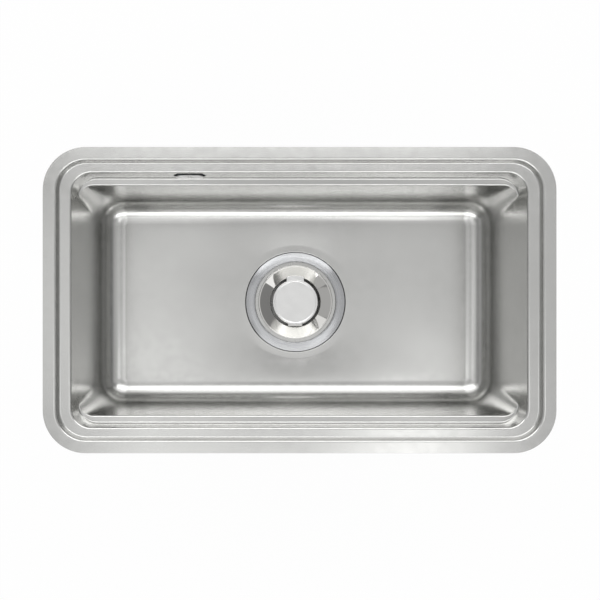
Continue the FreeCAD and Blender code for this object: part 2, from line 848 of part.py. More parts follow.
def hose_circle(along, radius):
    """Circle of the hose's skin, its X axis square to the plane of the bend."""
    centre, heading = hose_station(along)
    steady = inlet_direction.cross(Vector(0.0, 0.0, 1.0))
    placement = FreeCAD.Placement(centre, FreeCAD.Rotation(steady, Vector(0.0, 0.0, 0.0), heading, "ZXY"))
    circle = Part.makeCircle(radius)
    circle.Placement = placement
    return Part.Wire(circle)


def hose_bore():
    """Smooth bore of the hose along its drop, its bend and its run to the inlet."""
    length = hose_length()
    stations = [0.0, nipple_mouth_z - inlet_z - hose_bend_radius]
    stations.append(stations[1] + hose_bend_radius * math.pi / 2.0)
    drop = Part.makeCylinder(hose_bore_radius, stations[1], *hose_station(0.0))
    run = Part.makeCylinder(hose_bore_radius, length - stations[2], *hose_station(stations[2]))
    face = Part.Face(hose_circle(stations[1], hose_bore_radius))
    centre = hose_point(hose_run - hose_bend_radius, inlet_z + hose_bend_radius)
    axis = inlet_direction.cross(Vector(0.0, 0.0, -1.0))
    bend = face.revolve(centre, axis, 90.0)
    return [drop, bend, run]


def overflow_hose():
    """Ribbed hose from the overflow's elbow to the trap's inlet, held at both ends."""
    length = hose_length()
    plain = 2.0 * hose_crest_radius
    ribs = int((length - 2.0 * plain) / hose_rib_pitch)
    start = (length - ribs * hose_rib_pitch) / 2.0
    sections = [hose_circle(0.0, hose_root_radius)]
    for rib in range(ribs):
        foot = start + rib * hose_rib_pitch
        flank = hose_rib_slope * hose_rib_pitch
        sections.append(hose_circle(foot, hose_root_radius))
        sections.append(hose_circle(foot + flank, hose_crest_radius))
        sections.append(hose_circle(foot + 2.0 * flank, hose_crest_radius))
        sections.append(hose_circle(foot + 3.0 * flank, hose_root_radius))
    sections.append(hose_circle(length, hose_root_radius))
    print(f"overflow hose: {length:.1f} mm long, {ribs} ribs, bend radius {hose_bend_radius:.1f} mm")
    return Part.makeLoft(sections, True, True).cut(hose_bore())


def hose_bands():
    """The two bands that clamp the hose's plain ends on their nipples."""
    inset = (hose_nipple_length - hose_band_width) / 2.0
    inner = hose_root_radius + seat_gap
    bands = []
    for along in (inset, hose_length() - inset - hose_band_width):
        centre, heading = hose_station(along)
        outer_ring = Part.makeCylinder(inner + hose_band_thickness, hose_band_width, centre, heading)
        bands.append(outer_ring.cut(Part.makeCylinder(inner, hose_band_width, centre, heading)))
    return Part.makeCompound(bands)


def overflow_pieces():
    """Every piece of the overflow, by node name."""
    return {
        "overflow_cover": overflow_cover(),
        "overflow_screw": overflow_screw(),
        "overflow_gasket": overflow_gasket(),
        "overflow_elbow": overflow_elbow(),
        "overflow_hose": overflow_hose(),
        "hose_bands": hose_bands(),
    }


def clip_stations():
    """Name, stud position and the turn of each clip's arm when it is stowed under the rim."""
    under_rim = (rim_flat - sheet) / 2.0
    stud_x = rim_length / 2.0 - under_rim
    stud_y = rim_width / 2.0 - under_rim
    spacing = rim_length / 2.0 - clip_end_distance
    stations = []
    for name, along in (("left", -spacing), ("middle", 0.0), ("right", spacing)):
        stations.append((f"clip_front_{name}", along, -stud_y, 0.0))
        stations.append((f"clip_back_{name}", along, stud_y, 180.0))
    stations.append(("clip_left_end", -stud_x, 0.0, -90.0))
    stations.append(("clip_right_end", stud_x, 0.0, 90.0))
    return stations


def clip_placed(shape, x, y, turn):
    placed = shape.copy()
    placed.rotate(Vector(0.0, 0.0, 0.0), Vector(0.0, 0.0, 1.0), turn)
    placed.translate(Vector(x, y, -sheet))
    return placed


def swivel_clip():
    """Flat arm with a pivot hole and two fixing holes, stowed along +X from its stud."""
    half = clip_width / 2.0
    reach = clip_length - clip_width
    arm = box_between((0.0, -half, -clip_thickness), (reach, half, 0.0))
    ends = [
        Part.makeCylinder(half, clip_thickness, Vector(x, 0.0, -clip_thickness)) for x in (0.0, reach)
    ]
    holes = []
    for x, radius in (
        (0.0, clip_stud_radius + pivot_fit),
        (reach, clip_hole_radius),
        (reach - clip_hole_spacing, clip_hole_radius),
    ):
        holes.append(
            Part.makeCylinder(radius, 3.0 * clip_thickness, Vector(x, 0.0, -2.0 * clip_thickness))
        )
    return arm.fuse(ends).cut(holes).removeSplitter()


def hexagon(flats, height, low_z):
    radius = flats / math.sqrt(3.0)
    points = [
        Vector(radius * math.cos(math.radians(60.0 * k)), radius * math.sin(math.radians(60.0 * k)), low_z)
        for k in range(7)
    ]
    return Part.Face(Part.makePolygon(points)).extrude(Vector(0.0, 0.0, height))


def clip_pieces():
    """Eight swivel clips, and their studs, washers and nuts as three groups."""
    arm = swivel_clip()
    arm.translate(Vector(0.0, 0.0, -seat_gap))
    washer_top = -2.0 * seat_gap - clip_thickness
    nut_top = washer_top - clip_washer
    stud_end = Vector(0.0, 0.0, -clip_stud_length)
    bore = Part.makeCylinder(clip_stud_radius + pivot_fit, clip_stud_length, stud_end)
    thread = Part.makeCylinder(clip_stud_radius + thread_fit, clip_stud_length, stud_end)
    stud = Part.makeCylinder(clip_stud_radius, clip_stud_length, stud_end)
    washer = Part.makeCylinder(clip_washer_radius, clip_washer, Vector(0.0, 0.0, nut_top)).cut(bore)
    nut = hexagon(clip_nut_flats, clip_nut_height, nut_top - clip_nut_height).cut(thread)
    pieces = {}
    groups = {"clip_studs": (stud, []), "clip_washers": (washer, []), "clip_nuts": (nut, [])}
    for name, x, y, turn in clip_stations():
        pieces[name] = clip_placed(arm, x, y, turn)
        for shape, copies in groups.values():
            copies.append(clip_placed(shape, x, y, turn))
    for name, (shape, copies) in groups.items():
        pieces[name] = Part.makeCompound(copies)
    return pieces


def main():
    os.makedirs("parts", exist_ok=True)
    pieces = {"bowl": bowl(), "pad_floor_left": floor_pad(-1.0), "pad_floor_right": floor_pad(1.0)}
    pieces.update(wall_pads())
    pieces.update(waste_pieces())
    pieces.update(overflow_pieces())
    pieces.update(clip_pieces())
    for name, shape in pieces.items():
        print(f"{name}: {len(shape.Solids)} solid, {shape.Volume:.0f} mm3, valid {shape.isValid()}")
        shape.exportStep(f"parts/{name}.step")


main()
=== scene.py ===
"""Looks of an undermount kitchen sink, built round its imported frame.

The pressed bowl, the polished waste, the overflow, the trap, the ribbed hose and the clips each
have a class that builds their meshes and dresses them. Lengths are millimetres up to the point
where a mesh is made, and metres in the meshes. Places and outer sizes come from the frame's own
boxes, and the sizes that a box doesn't show are named values of the piece's class.
"""

import logging
import math
from collections.abc import Callable, Sequence
from dataclasses import dataclass, field
from enum import Enum

import bmesh
import bpy
from mathutils import Matrix, Vector


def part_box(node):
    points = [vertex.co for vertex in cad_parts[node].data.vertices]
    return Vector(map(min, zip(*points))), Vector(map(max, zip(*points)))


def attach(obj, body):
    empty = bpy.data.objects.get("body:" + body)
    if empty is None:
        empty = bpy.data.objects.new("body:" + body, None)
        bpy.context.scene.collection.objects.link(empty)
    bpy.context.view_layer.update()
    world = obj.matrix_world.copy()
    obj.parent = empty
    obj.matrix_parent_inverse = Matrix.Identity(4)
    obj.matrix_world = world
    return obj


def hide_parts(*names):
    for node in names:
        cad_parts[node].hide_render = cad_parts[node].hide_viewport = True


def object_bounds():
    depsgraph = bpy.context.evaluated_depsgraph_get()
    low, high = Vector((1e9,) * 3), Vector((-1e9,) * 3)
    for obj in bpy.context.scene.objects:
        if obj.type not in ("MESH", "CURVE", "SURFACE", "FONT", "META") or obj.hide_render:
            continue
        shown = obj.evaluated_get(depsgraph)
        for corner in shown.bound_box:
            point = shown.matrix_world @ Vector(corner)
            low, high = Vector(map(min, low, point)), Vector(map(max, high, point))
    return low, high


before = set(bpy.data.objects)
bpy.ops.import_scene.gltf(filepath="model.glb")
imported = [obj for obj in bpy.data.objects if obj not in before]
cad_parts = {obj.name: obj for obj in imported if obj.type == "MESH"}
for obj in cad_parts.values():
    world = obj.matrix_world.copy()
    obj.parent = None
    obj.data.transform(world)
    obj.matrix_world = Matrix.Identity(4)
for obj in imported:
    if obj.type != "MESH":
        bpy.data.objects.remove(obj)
cad_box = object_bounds()

LOG = logging.getLogger("sink")
MM = 0.001
PHOTO_SIZE = 600.0
BALANCED_NORMALS = "balanced_normals"
# Noise seldom leaves this span, so a finish spreads its roughness over it.
NOISE_SPAN = (0.3, 0.7)

Profile = Sequence[tuple[float, float, float]]
Loop = Sequence[tuple[float, float]]
Span = tuple[float, float]
Socket = bpy.types.NodeSocket
Node = bpy.types.Node
Tree = bpy.types.NodeTree
Piece = bpy.types.Object
Shape = bmesh.types.BMesh


class Body(Enum):
    """Bodies of the frame that pieces ride on."""

    SINK = "sink"
    BELL = "bell"
    BASKET = "basket"
    FUNNEL = "funnel"
    CAP = "cap"
    CLIP_FRONT_LEFT = "clip_front_left"
    CLIP_FRONT_MIDDLE = "clip_front_middle"
    CLIP_FRONT_RIGHT = "clip_front_right"
    CLIP_BACK_LEFT = "clip_back_left"
    CLIP_BACK_MIDDLE = "clip_back_middle"
    CLIP_BACK_RIGHT = "clip_back_right"
    CLIP_LEFT_END = "clip_left_end"
    CLIP_RIGHT_END = "clip_right_end"


class Slot(Enum):
    """Material slots of the record that the pieces are named with."""

    SATIN_STEEL = "satin_steel"
    POLISHED_STEEL = "polished_steel"
    FASTENER_STEEL = "fastener_steel"
    CLIP_STEEL = "clip_steel"
    HOSE_PLASTIC = "hose_plastic"
    TRAP_PLASTIC = "trap_plastic"
    NUT_PLASTIC = "nut_plastic"


def linear(hex_colour: str) -> tuple[float, float, float, float]:
    """Turn an sRGB hex colour into linear light.

    Args:
        hex_colour: Colour as "#rrggbb".

    Returns:
        Red, green, blue and an alpha of 1, all linear.
    """
    channels = [int(hex_colour[place : place + 2], 16) / 255.0 for place in (1, 3, 5)]
    light = [c / 12.92 if c <= 0.04045 else ((c + 0.055) / 1.055) ** 2.4 for c in channels]
    return light[0], light[1], light[2], 1.0


def add_node(
    tree: Tree,
    kind: str,
    inputs: dict[str | int, object] | None = None,
    **settings: object,
) -> Node:
    """Add a shader node with its settings, values and links.

    Args:
        tree: Node tree that takes the node.
        kind: Blender's name of the node's type.
        inputs: For each input's name or place, a value, or another node's output to link.
        settings: Properties of the node itself.

    Returns:
        The new node.
    """
    node = tree.nodes.new(kind)
    for name, value in settings.items():
        setattr(node, name, value)
    for key, value in (inputs or {}).items():
        if isinstance(value, Socket):
            tree.links.new(value, node.inputs[key])
        else:
            node.inputs[key].default_value = value
    return node


def per_metre(feature_mm: float) -> float:
    """Scale of a texture in metres whose features are this many millimetres apart."""
    return 1.0 / (feature_mm * MM)


def own_place(tree: Tree) -> Socket:
    """Return the place on the piece itself, in metres, so that patterns move with it."""
    return add_node(tree, "ShaderNodeTexCoord").outputs["Object"]


def noise(tree: Tree, place: Socket, feature_mm: float, detail: float = 2.0) -> Socket:
    """Add noise whose features are this many millimetres apart, and return its value."""
    inputs = {"Vector": place, "Scale": per_metre(feature_mm), "Detail": detail}
    return add_node(tree, "ShaderNodeTexNoise", inputs).outputs["Fac"]


def ranged(tree: Tree, value: Socket, onto: Span, over: Span = (0.0, 1.0)) -> Socket:
    """Map a value from the span that it lies over onto another span, and return it."""
    ends = {"From Min": over[0], "From Max": over[1], "To Min": onto[0], "To Max": onto[1]}
    return add_node(tree, "ShaderNodeMapRange", {"Value": value, **ends}).outputs[0]


def tinted(tree: Tree, share: Socket, colour: str, other: str) -> Socket:
    """Mix two hex colours by a share, and return the mixture."""
    inputs = {"Factor": share, 6: linear(colour), 7: linear(other)}
    return add_node(tree, "ShaderNodeMix", inputs, data_type="RGBA").outputs[2]


def bumped(tree: Tree, height: Socket, strength: float, depth_mm: float) -> Socket:
    """Add bumps of a depth in millimetres, and return their normal."""
    inputs = {"Height": height, "Strength": strength, "Distance": depth_mm * MM}
    return add_node(tree, "ShaderNodeBump", inputs).outputs[0]


def maths(tree: Tree, operation: str, first: object, second: object) -> Socket:
    """Add an operation on two values, and return its result."""
    return add_node(tree, "ShaderNodeMath", {0: first, 1: second}, operation=operation).outputs[0]


def vector_maths(
    tree: Tree, operation: str, inputs: dict[str | int, object], output: str = "Vector"
) -> Socket:
    """Add an operation on vectors, and return the output of this name."""
    return add_node(tree, "ShaderNodeVectorMath", inputs, operation=operation).outputs[output]


@dataclass(frozen=True)
class Finish:
    """A real material and how its surface was made."""

    name: str = "finish"
    colour: str = "#808080"
    metallic: float = 0.0
    roughness: float = 0.5

    def surface(self, tree: Tree) -> Node:
        """Add the finish's shader with its patterns to the tree and return it."""
        raise NotImplementedError

    def material(self) -> bpy.types.Material:
        """Return the finish's material, made the first time it is asked for."""
        made = bpy.data.materials.get(self.name)
        if made is None:
            made = bpy.data.materials.new(self.name)
            made.use_nodes = True
            made.node_tree.nodes.clear()
            shader = self.surface(made.node_tree)
            add_node(made.node_tree, "ShaderNodeOutputMaterial", {"Surface": shader.outputs[0]})
            made.diffuse_color = linear(self.colour)
        return made

    def shader(self, tree: Tree, **sockets: object) -> Node:
        """Add the principled shader with the finish's own values.

        Args:
            tree: Node tree that takes the shader.
            sockets: Further inputs, named with underscores for their spaces.

        Returns:
            The shader node.
        """
        inputs = {
            "Base Color": linear(self.colour),
            "Metallic": self.metallic,
            "Roughness": self.roughness,
        }
        for name, value in sockets.items():
            inputs[name.replace("_", " ")] = value
        return add_node(tree, "ShaderNodeBsdfPrincipled", inputs)


@dataclass(frozen=True)
class SatinStainless(Finish):
    """Deep-drawn 304 stainless sheet, ground and then satin-polished by hand.

    The polish leaves no lines that show at arm's length, only soft clouds where the wheel dwelt,
    so reflections are blurred but keep their place. The ripples that the press leaves in the
    sheet bend them a little.
    """

    name: str = "satin_304_stainless"
    colour: str = "#D0D0CE"
    cloud_colour: str = "#C8C8C6"
    metallic: float = 1.0
    roughness: float = 0.24
    roughness_spread: float = 0.05
    cloud_mm: float = 70.0
    polish_mm: float = 14.0
    ripple_mm: float = 11.0
    ripple_depth_mm: float = 0.006

    def surface(self, tree: Tree) -> Node:
        """Add the satin steel with its polishing clouds and ripples."""
        place = own_place(tree)
        cloud = noise(tree, place, self.cloud_mm)
        polish = noise(tree, place, self.polish_mm, 1.0)
        ripple = noise(tree, place, self.ripple_mm, 1.0)
        half = self.roughness_spread / 2.0
        ends = (self.roughness - half, self.roughness + half)
        return self.shader(
            tree,
            Base_Color=tinted(tree, cloud, self.colour, self.cloud_colour),
            Roughness=ranged(tree, polish, ends, NOISE_SPAN),
            Normal=bumped(tree, ripple, 0.5, self.ripple_depth_mm),
        )


@dataclass(frozen=True)
class MillStainless(SatinStainless):
    """The same sheet's outside, left as the rolling mill and the drawing press made it.

    It is greyer and duller than the polished inside, and its ripples are closer and deeper.
    """

    name: str = "mill_finish_304_stainless"
    colour: str = "#B4B5B3"
    cloud_colour: str = "#A3A5A4"
    roughness: float = 0.38
    roughness_spread: float = 0.12
    cloud_mm: float = 45.0
    polish_mm: float = 9.0
    ripple_mm: float = 5.0
    ripple_depth_mm: float = 0.03


@dataclass(frozen=True)
class SpunStainless(Finish):
    """Stainless flange turned against an abrasive on a spindle.

    The rings that the abrasive leaves smear each reflection across them, so light gathers in
    soft spokes that run out from the waste's middle. The rings are drawn coarser than the real
    grit, about 0.6 mm apart, so that they show.
    """

    name: str = "spun_304_stainless"
    colour: str = "#C0C1C3"
    metallic: float = 1.0
    roughness: float = 0.24
    anisotropy: float = 0.8
    ring_mm: float = 0.6
    ring_depth_mm: float = 0.006
    break_share: float = 1.2
    smear_turns: float = 0.25

    def surface(self, tree: Tree) -> Node:
        """Add the spun steel with its rings about the piece's upright axis."""
        level = vector_maths(tree, "MULTIPLY", {0: own_place(tree), 1: (1.0, 1.0, 0.0)})
        radius = vector_maths(tree, "LENGTH", {0: level}, "Value")
        outward = vector_maths(tree, "NORMALIZE", {0: level})
        around = vector_maths(tree, "SCALE", {0: outward, "Scale": self.break_share})
        rings = maths(tree, "MULTIPLY", radius, per_metre(self.ring_mm))
        across = add_node(tree, "ShaderNodeCombineXYZ", {"Z": rings}).outputs[0]
        spun = vector_maths(tree, "ADD", {0: around, 1: across})
        inputs = {"Vector": spun, "Scale": 1.0, "Detail": 2.0}
        grain = add_node(tree, "ShaderNodeTexNoise", inputs).outputs["Fac"]
        tangent = add_node(tree, "ShaderNodeTangent", direction_type="RADIAL", axis="Z")
        ends = (self.roughness * 0.8, self.roughness * 1.3)
        return self.shader(
            tree,
            Roughness=ranged(tree, grain, ends, NOISE_SPAN),
            Normal=bumped(tree, grain, 0.4, self.ring_depth_mm),
            Anisotropic=self.anisotropy,
            Anisotropic_Rotation=self.smear_turns,
            Tangent=tangent.outputs[0],
        )


@dataclass(frozen=True)
class MirrorStainless(Finish):
    """Pressed stainless buffed to a mirror.

    Reflections are sharp, bent a little by the buffing wheel's low waves, with a few dull specks
    where water has dried.
    """

    name: str = "buffed_304_stainless"
    colour: str = "#DAD9D6"
    metallic: float = 1.0
    roughness: float = 0.04
    wave_mm: float = 12.0
    wave_depth_mm: float = 0.02
    speck_mm: float = 3.0
    speck_span: Span = (0.55, 0.8)

    def surface(self, tree: Tree) -> Node:
        """Add the mirror steel with its buffing waves and specks."""
        place = own_place(tree)
        wave = noise(tree, place, self.wave_mm, 1.0)
        speck = noise(tree, place, self.speck_mm, 3.0)
        ends = (self.roughness, self.roughness * 3.0)
        return self.shader(
            tree,
            Roughness=ranged(tree, speck, ends, self.speck_span),
            Normal=bumped(tree, wave, 0.3, self.wave_depth_mm),
        )


@dataclass(frozen=True)
class ZincPlate(Finish):
    """Bright zinc plate on steel: cool grey, with the faint patches of its crystals."""

    name: str = "bright_zinc_plate"
    colour: str = "#B9BEC4"
    patch_colour: str = "#A2A8B0"
    metallic: float = 1.0
    roughness: float = 0.32
    crystal_mm: float = 2.5

    def surface(self, tree: Tree) -> Node:
        """Add the zinc with its crystals."""
        inputs = {"Vector": own_place(tree), "Scale": per_metre(self.crystal_mm)}
        crystal = add_node(tree, "ShaderNodeTexVoronoi", inputs)
        share = add_node(tree, "ShaderNodeSeparateColor", {0: crystal.outputs["Color"]})
        ends = (self.roughness * 0.8, self.roughness * 1.25)
        return self.shader(
            tree,
            Base_Color=tinted(tree, share.outputs[0], self.colour, self.patch_colour),
            Roughness=ranged(tree, share.outputs[1], ends),
        )


@dataclass(frozen=True)
class MouldedPlastic(Finish):
    """Injection-moulded thermoplastic with a fine spark-eroded grain from the mould."""

    name: str = "moulded_polypropylene"
    colour: str = "#D9DBDA"
    shade_colour: str = "#CED1D0"
    roughness: float = 0.42
    grain_mm: float = 0.7
    grain_depth_mm: float = 0.02
    flow_mm: float = 30.0
    glow: float = 0.0

    def surface(self, tree: Tree) -> Node:
        """Add the plastic with its flow shading and mould grain."""
        place = own_place(tree)
        flow = noise(tree, place, self.flow_mm)
        grain = noise(tree, place, self.grain_mm)
        ends = (self.roughness * 0.9, self.roughness * 1.1)
        return self.shader(
            tree,
            Base_Color=tinted(tree, flow, self.colour, self.shade_colour),
            Roughness=ranged(tree, flow, ends),
            Normal=bumped(tree, grain, 0.5, self.grain_depth_mm),
            Subsurface_Weight=self.glow,
            Subsurface_Scale=MM,
        )


SATIN = SatinStainless()
MILL = MillStainless()
SPUN = SpunStainless()
MIRROR = MirrorStainless()
# The cap, the overflow's cover and its screw are ground flat before they are satin-polished, so
# they are a little brighter than the bowl.
CAP_SATIN = SatinStainless(
    name="ground_304_stainless",
    colour="#E6E6E5",
    cloud_colour="#E0E0DF",
    roughness=0.34,
    cloud_mm=30.0,
)
# Electropolishing rounds the punched holes' edges and leaves an even, soft shine.
ELECTROPOLISHED = SatinStainless(name="electropolished_304_stainless", roughness=0.26, cloud_mm=20.0)
ZINC = ZincPlate()
# Yellow-tinged passivation marks the strip-steel clips off from the bright nuts.
CLIP_ZINC = ZincPlate(name="passivated_zinc_plate", colour="#BDBBB0", patch_colour="#A9A79B")
TRAP_PLASTIC = MouldedPlastic(glow=0.1)
NUT_PLASTIC = MouldedPlastic(
    name="moulded_black_nylon", colour="#26272A", shade_colour="#1E1F22", roughness=0.38
)
HOSE_PLASTIC = MouldedPlastic(
    name="corrugated_polyethylene", colour="#C2C6C8", shade_colour="#B6BBBE", roughness=0.36, glow=0.1
)
GASKET_RUBBER = MouldedPlastic(
    name="moulded_nitrile_rubber", colour="#1B1B1C", shade_colour="#232324", roughness=0.7
)
# Bitumen sheet is dull and slightly pebbled by the rollers that pressed it.
BITUMEN = MouldedPlastic(
    name="rolled_bitumen_sheet",
    colour="#333438",
    shade_colour="#2B2C30",
    roughness=0.75,
    grain_mm=2.2,
    grain_depth_mm=0.12,
)


def quarter_angles(steps: int) -> list[float]:
    """Angles of a quarter circle in even steps, with both of its ends."""
    return [math.pi / 2.0 * step / steps for step in range(steps + 1)]


def rounded_profile(corners: Profile, closed: bool) -> list[tuple[float, float]]:
    """Turn corners into points, with an arc in place of each rounded corner.

    Args:
        corners: Across, up and rounding radius of each corner, in order.
        closed: Whether the last corner joins the first.

    Returns:
        Across and up of each point.
    """
    arc_step = math.radians(15.0)
    longest_chord = 3.0
    points: list[tuple[float, float]] = []
    for place, (across, up, radius) in enumerate(corners):
        at_end = not closed and place in (0, len(corners) - 1)
        if radius <= 0.0 or at_end:
            points.append((across, up))
            continue
        corner = Vector((across, up))
        back = Vector(corners[place - 1][:2]) - corner
        ahead = Vector(corners[(place + 1) % len(corners)][:2]) - corner
        shortest = min(back.length, ahead.length)
        back.normalize()
        ahead.normalize()
        opening = back.angle(ahead)
        reach = min(radius / math.tan(opening / 2.0), 0.49 * shortest)
        radius = reach * math.tan(opening / 2.0)
        centre = corner + (back + ahead).normalized() * (radius / math.sin(opening / 2.0))
        start = corner + back * reach - centre
        end = corner + ahead * reach - centre
        turn = start.angle_signed(end)
        bow = abs(turn)
        steps = max(2, math.ceil(bow / arc_step), math.ceil(bow * radius / longest_chord))
        for step in range(steps + 1):
            spoke = start.copy()
            spoke.rotate(Matrix.Rotation(-turn * step / steps, 2))
            points.append(tuple(centre + spoke))
    return points


def mesh_object(name: str, shape: Shape, unit: float = MM) -> Piece:
    """Make a linked object from a bmesh, scaled from its unit to metres, and free the bmesh."""
    bmesh.ops.scale(shape, vec=(unit, unit, unit), verts=shape.verts)
    mesh = bpy.data.meshes.new(name)
    shape.to_mesh(mesh)
    shape.free()
    made = bpy.data.objects.new(name, mesh)
    bpy.context.scene.collection.objects.link(made)
    return made


def solid_object(name: str, shape: Shape) -> Piece:
    """Make an object from a closed bmesh in millimetres, with its normals turned outward."""
    bmesh.ops.recalc_face_normals(shape, faces=shape.faces)
    return mesh_object(name, shape)


def skin_rings(
    shape: Shape, rings: Sequence[Sequence[bmesh.types.BMVert]], closed: bool = False
) -> None:
    """Join each ring of vertices to the next by faces.

    Args:
        shape: Mesh that holds the rings.
        rings: Rings of equally many vertices, or of one vertex where they shrink to a point.
        closed: Whether the last ring joins the first.
    """
    pairs = list(zip(rings, rings[1:]))
    if closed:
        pairs.append((rings[-1], rings[0]))
    for low, high in pairs:
        steps = max(len(low), len(high))
        for step in range(steps):
            places = ((low, step), (low, step + 1), (high, step + 1), (high, step))
            corners = [ring[place % len(ring)] for ring, place in places]
            shape.faces.new(dict.fromkeys(corners))


def shade(piece: Piece, crease_degrees: float = 32.0) -> Piece:
    """Shade a piece smooth up to a crease angle, with its large faces' normals kept true."""
    piece.data.shade_smooth()
    piece.data.set_sharp_from_angle(angle=math.radians(crease_degrees))
    balance = piece.modifiers.new(BALANCED_NORMALS, "WEIGHTED_NORMAL")
    balance.keep_sharp = True
    return piece


def settled(piece: Piece) -> Piece:
    """Replace a piece's mesh by the one that its modifiers make."""
    shaped = bpy.data.meshes.new_from_object(
        piece.evaluated_get(bpy.context.evaluated_depsgraph_get())
    )
    piece.modifiers.clear()
    piece.data = shaped
    return piece


def turned(
    name: str,
    corners: Profile,
    closed: bool = True,
    steps: int = 160,
    swell: Callable[[float, float, float], float] | None = None,
) -> Piece:
    """Turn a profile about the upright axis.

    Args:
        name: Name of the piece.
        corners: Radius, height and rounding of each corner; an open profile starts and ends on the axis.
        closed: Whether the profile closes on itself.
        steps: Steps round the axis.
        swell: Extra radius by radius, height and angle, such as a nut's grip ribs.

    Returns:
        The turned piece.
    """
    shape = bmesh.new()
    rows = []
    for radius, height in rounded_profile(corners, closed):
        if radius < 1e-6:
            rows.append([shape.verts.new((0.0, 0.0, height))])
            continue
        row = []
        for step in range(steps):
            angle = 2.0 * math.pi * step / steps
            reach = radius + (swell(radius, height, angle) if swell else 0.0)
            row.append(shape.verts.new((reach * math.cos(angle), reach * math.sin(angle), height)))
        rows.append(row)
    skin_rings(shape, rows, closed)
    return shade(solid_object(name, shape))


def prism(name: str, outline: Loop, low: float, high: float) -> Piece:
    """Extrude an outline of (x, y) points upright between two heights."""
    shape = bmesh.new()
    floor = [shape.verts.new((x, y, low)) for x, y in outline]
    roof = [shape.verts.new((x, y, high)) for x, y in outline]
    shape.faces.new(floor)
    shape.faces.new(roof)
    skin_rings(shape, (floor, roof))
    return solid_object(name, shape)


def cut(piece: Piece, tool: Piece) -> None:
    """Cut a solid out of a piece, and remove the solid."""
    change = piece.modifiers.new("cut", "BOOLEAN")
    change.operation = "DIFFERENCE"
    change.solver = "EXACT"
    change.object = tool
    settled(piece)
    bpy.data.objects.remove(tool)


def lofted(name: str, rows: Sequence[tuple[Loop, float]]) -> Piece:
    """Skin outlines of equally many (x, y) points, each at its height, and close both ends."""
    shape = bmesh.new()
    rings = [[shape.verts.new((x, y, height)) for x, y in outline] for outline, height in rows]
    skin_rings(shape, rings)
    shape.faces.new(rings[0])
    shape.faces.new(rings[-1])
    return shade(solid_object(name, shape))


def placed(piece: Piece, place: Matrix) -> Piece:
    """Move a piece's mesh by a matrix in metres."""
    piece.data.transform(place)
    return piece


def joined(name: str, *pieces: Piece) -> Piece:
    """Gather pieces that are one moulding or one set into a single mesh.

    Args:
        name: Name of the gathered piece.
        pieces: The pieces, which are used up.

    Returns:
        The gathered piece.
    """
    shape = bmesh.new()
    for piece in pieces:
        shape.from_mesh(settled(piece).data)
        bpy.data.objects.remove(piece)
    return shade(mesh_object(name, shape, unit=1.0))


def span(node: str) -> tuple[float, float]:
    """Lowest and highest point of a node of the frame, in millimetres."""
    low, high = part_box(node)
    return low.z / MM, high.z / MM


def threaded(
    radius: float, low: float, high: float, pitch: float, depth: float
) -> list[tuple[float, float, float]]:
    """Corners of a thread's section from its low end up, drawn as rings of its pitch."""
    turns = int((high - low) / pitch)
    corners = [(radius - depth, low, 0.0)]
    for turn in range(turns):
        foot = low + turn * pitch
        for reach, share in ((radius, 0.4), (radius, 0.6), (radius - depth, 1.0)):
            corners.append((reach, foot + share * pitch, 0.0))
    corners.append((radius - depth, high, 0.0))
    return corners


def dress(piece: Piece, *finishes: Finish) -> None:
    """Give a piece its finishes, one per material slot."""
    piece.data.materials.clear()
    for finish in finishes:
        piece.data.materials.append(finish.material())


def stand_in(piece: Piece, body: Body, slot: Slot, finish: Finish, *nodes: str) -> None:
    """Make a finished piece ride on its body in place of the frame's nodes.

    Args:
        piece: The piece, in place.
        body: Body that carries it.
        slot: Material slot that the piece is named with; not used.
        finish: Finish of the piece, unless it has its materials already.
        nodes: Nodes of the frame that it stands for.
    """
    if not piece.data.materials:
        dress(piece, finish)
    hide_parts(*nodes)
    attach(piece, body.value)
    LOG.info("%s stands for %s on %s", piece.name, ", ".join(nodes), body.value)


def carry_over(finish: Finish, *nodes: str, easing_mm: float = 0.0) -> None:
    """Dress nodes of the frame that keep their own shape.

    Args:
        finish: Finish of the nodes.
        nodes: Names of the nodes.
        easing_mm: Width of the rounding on their sharp edges, or 0 for none.
    """
    for name in nodes:
        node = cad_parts[name]
        for place in range(len(node.material_slots)):
            node.material_slots[place].material = finish.material()
        if easing_mm > 0.0:
            weld = node.modifiers.new("joined_faces", "WELD")
            weld.merge_threshold = 1e-6
            edge = node.modifiers.new("eased_edges", "BEVEL")
            edge.width = easing_mm * MM
            edge.segments = 2
            edge.limit_method = "ANGLE"
            edge.angle_limit = math.radians(50.0)
            edge.harden_normals = True
        LOG.info("%s keeps the frame's shape in %s", name, finish.name)


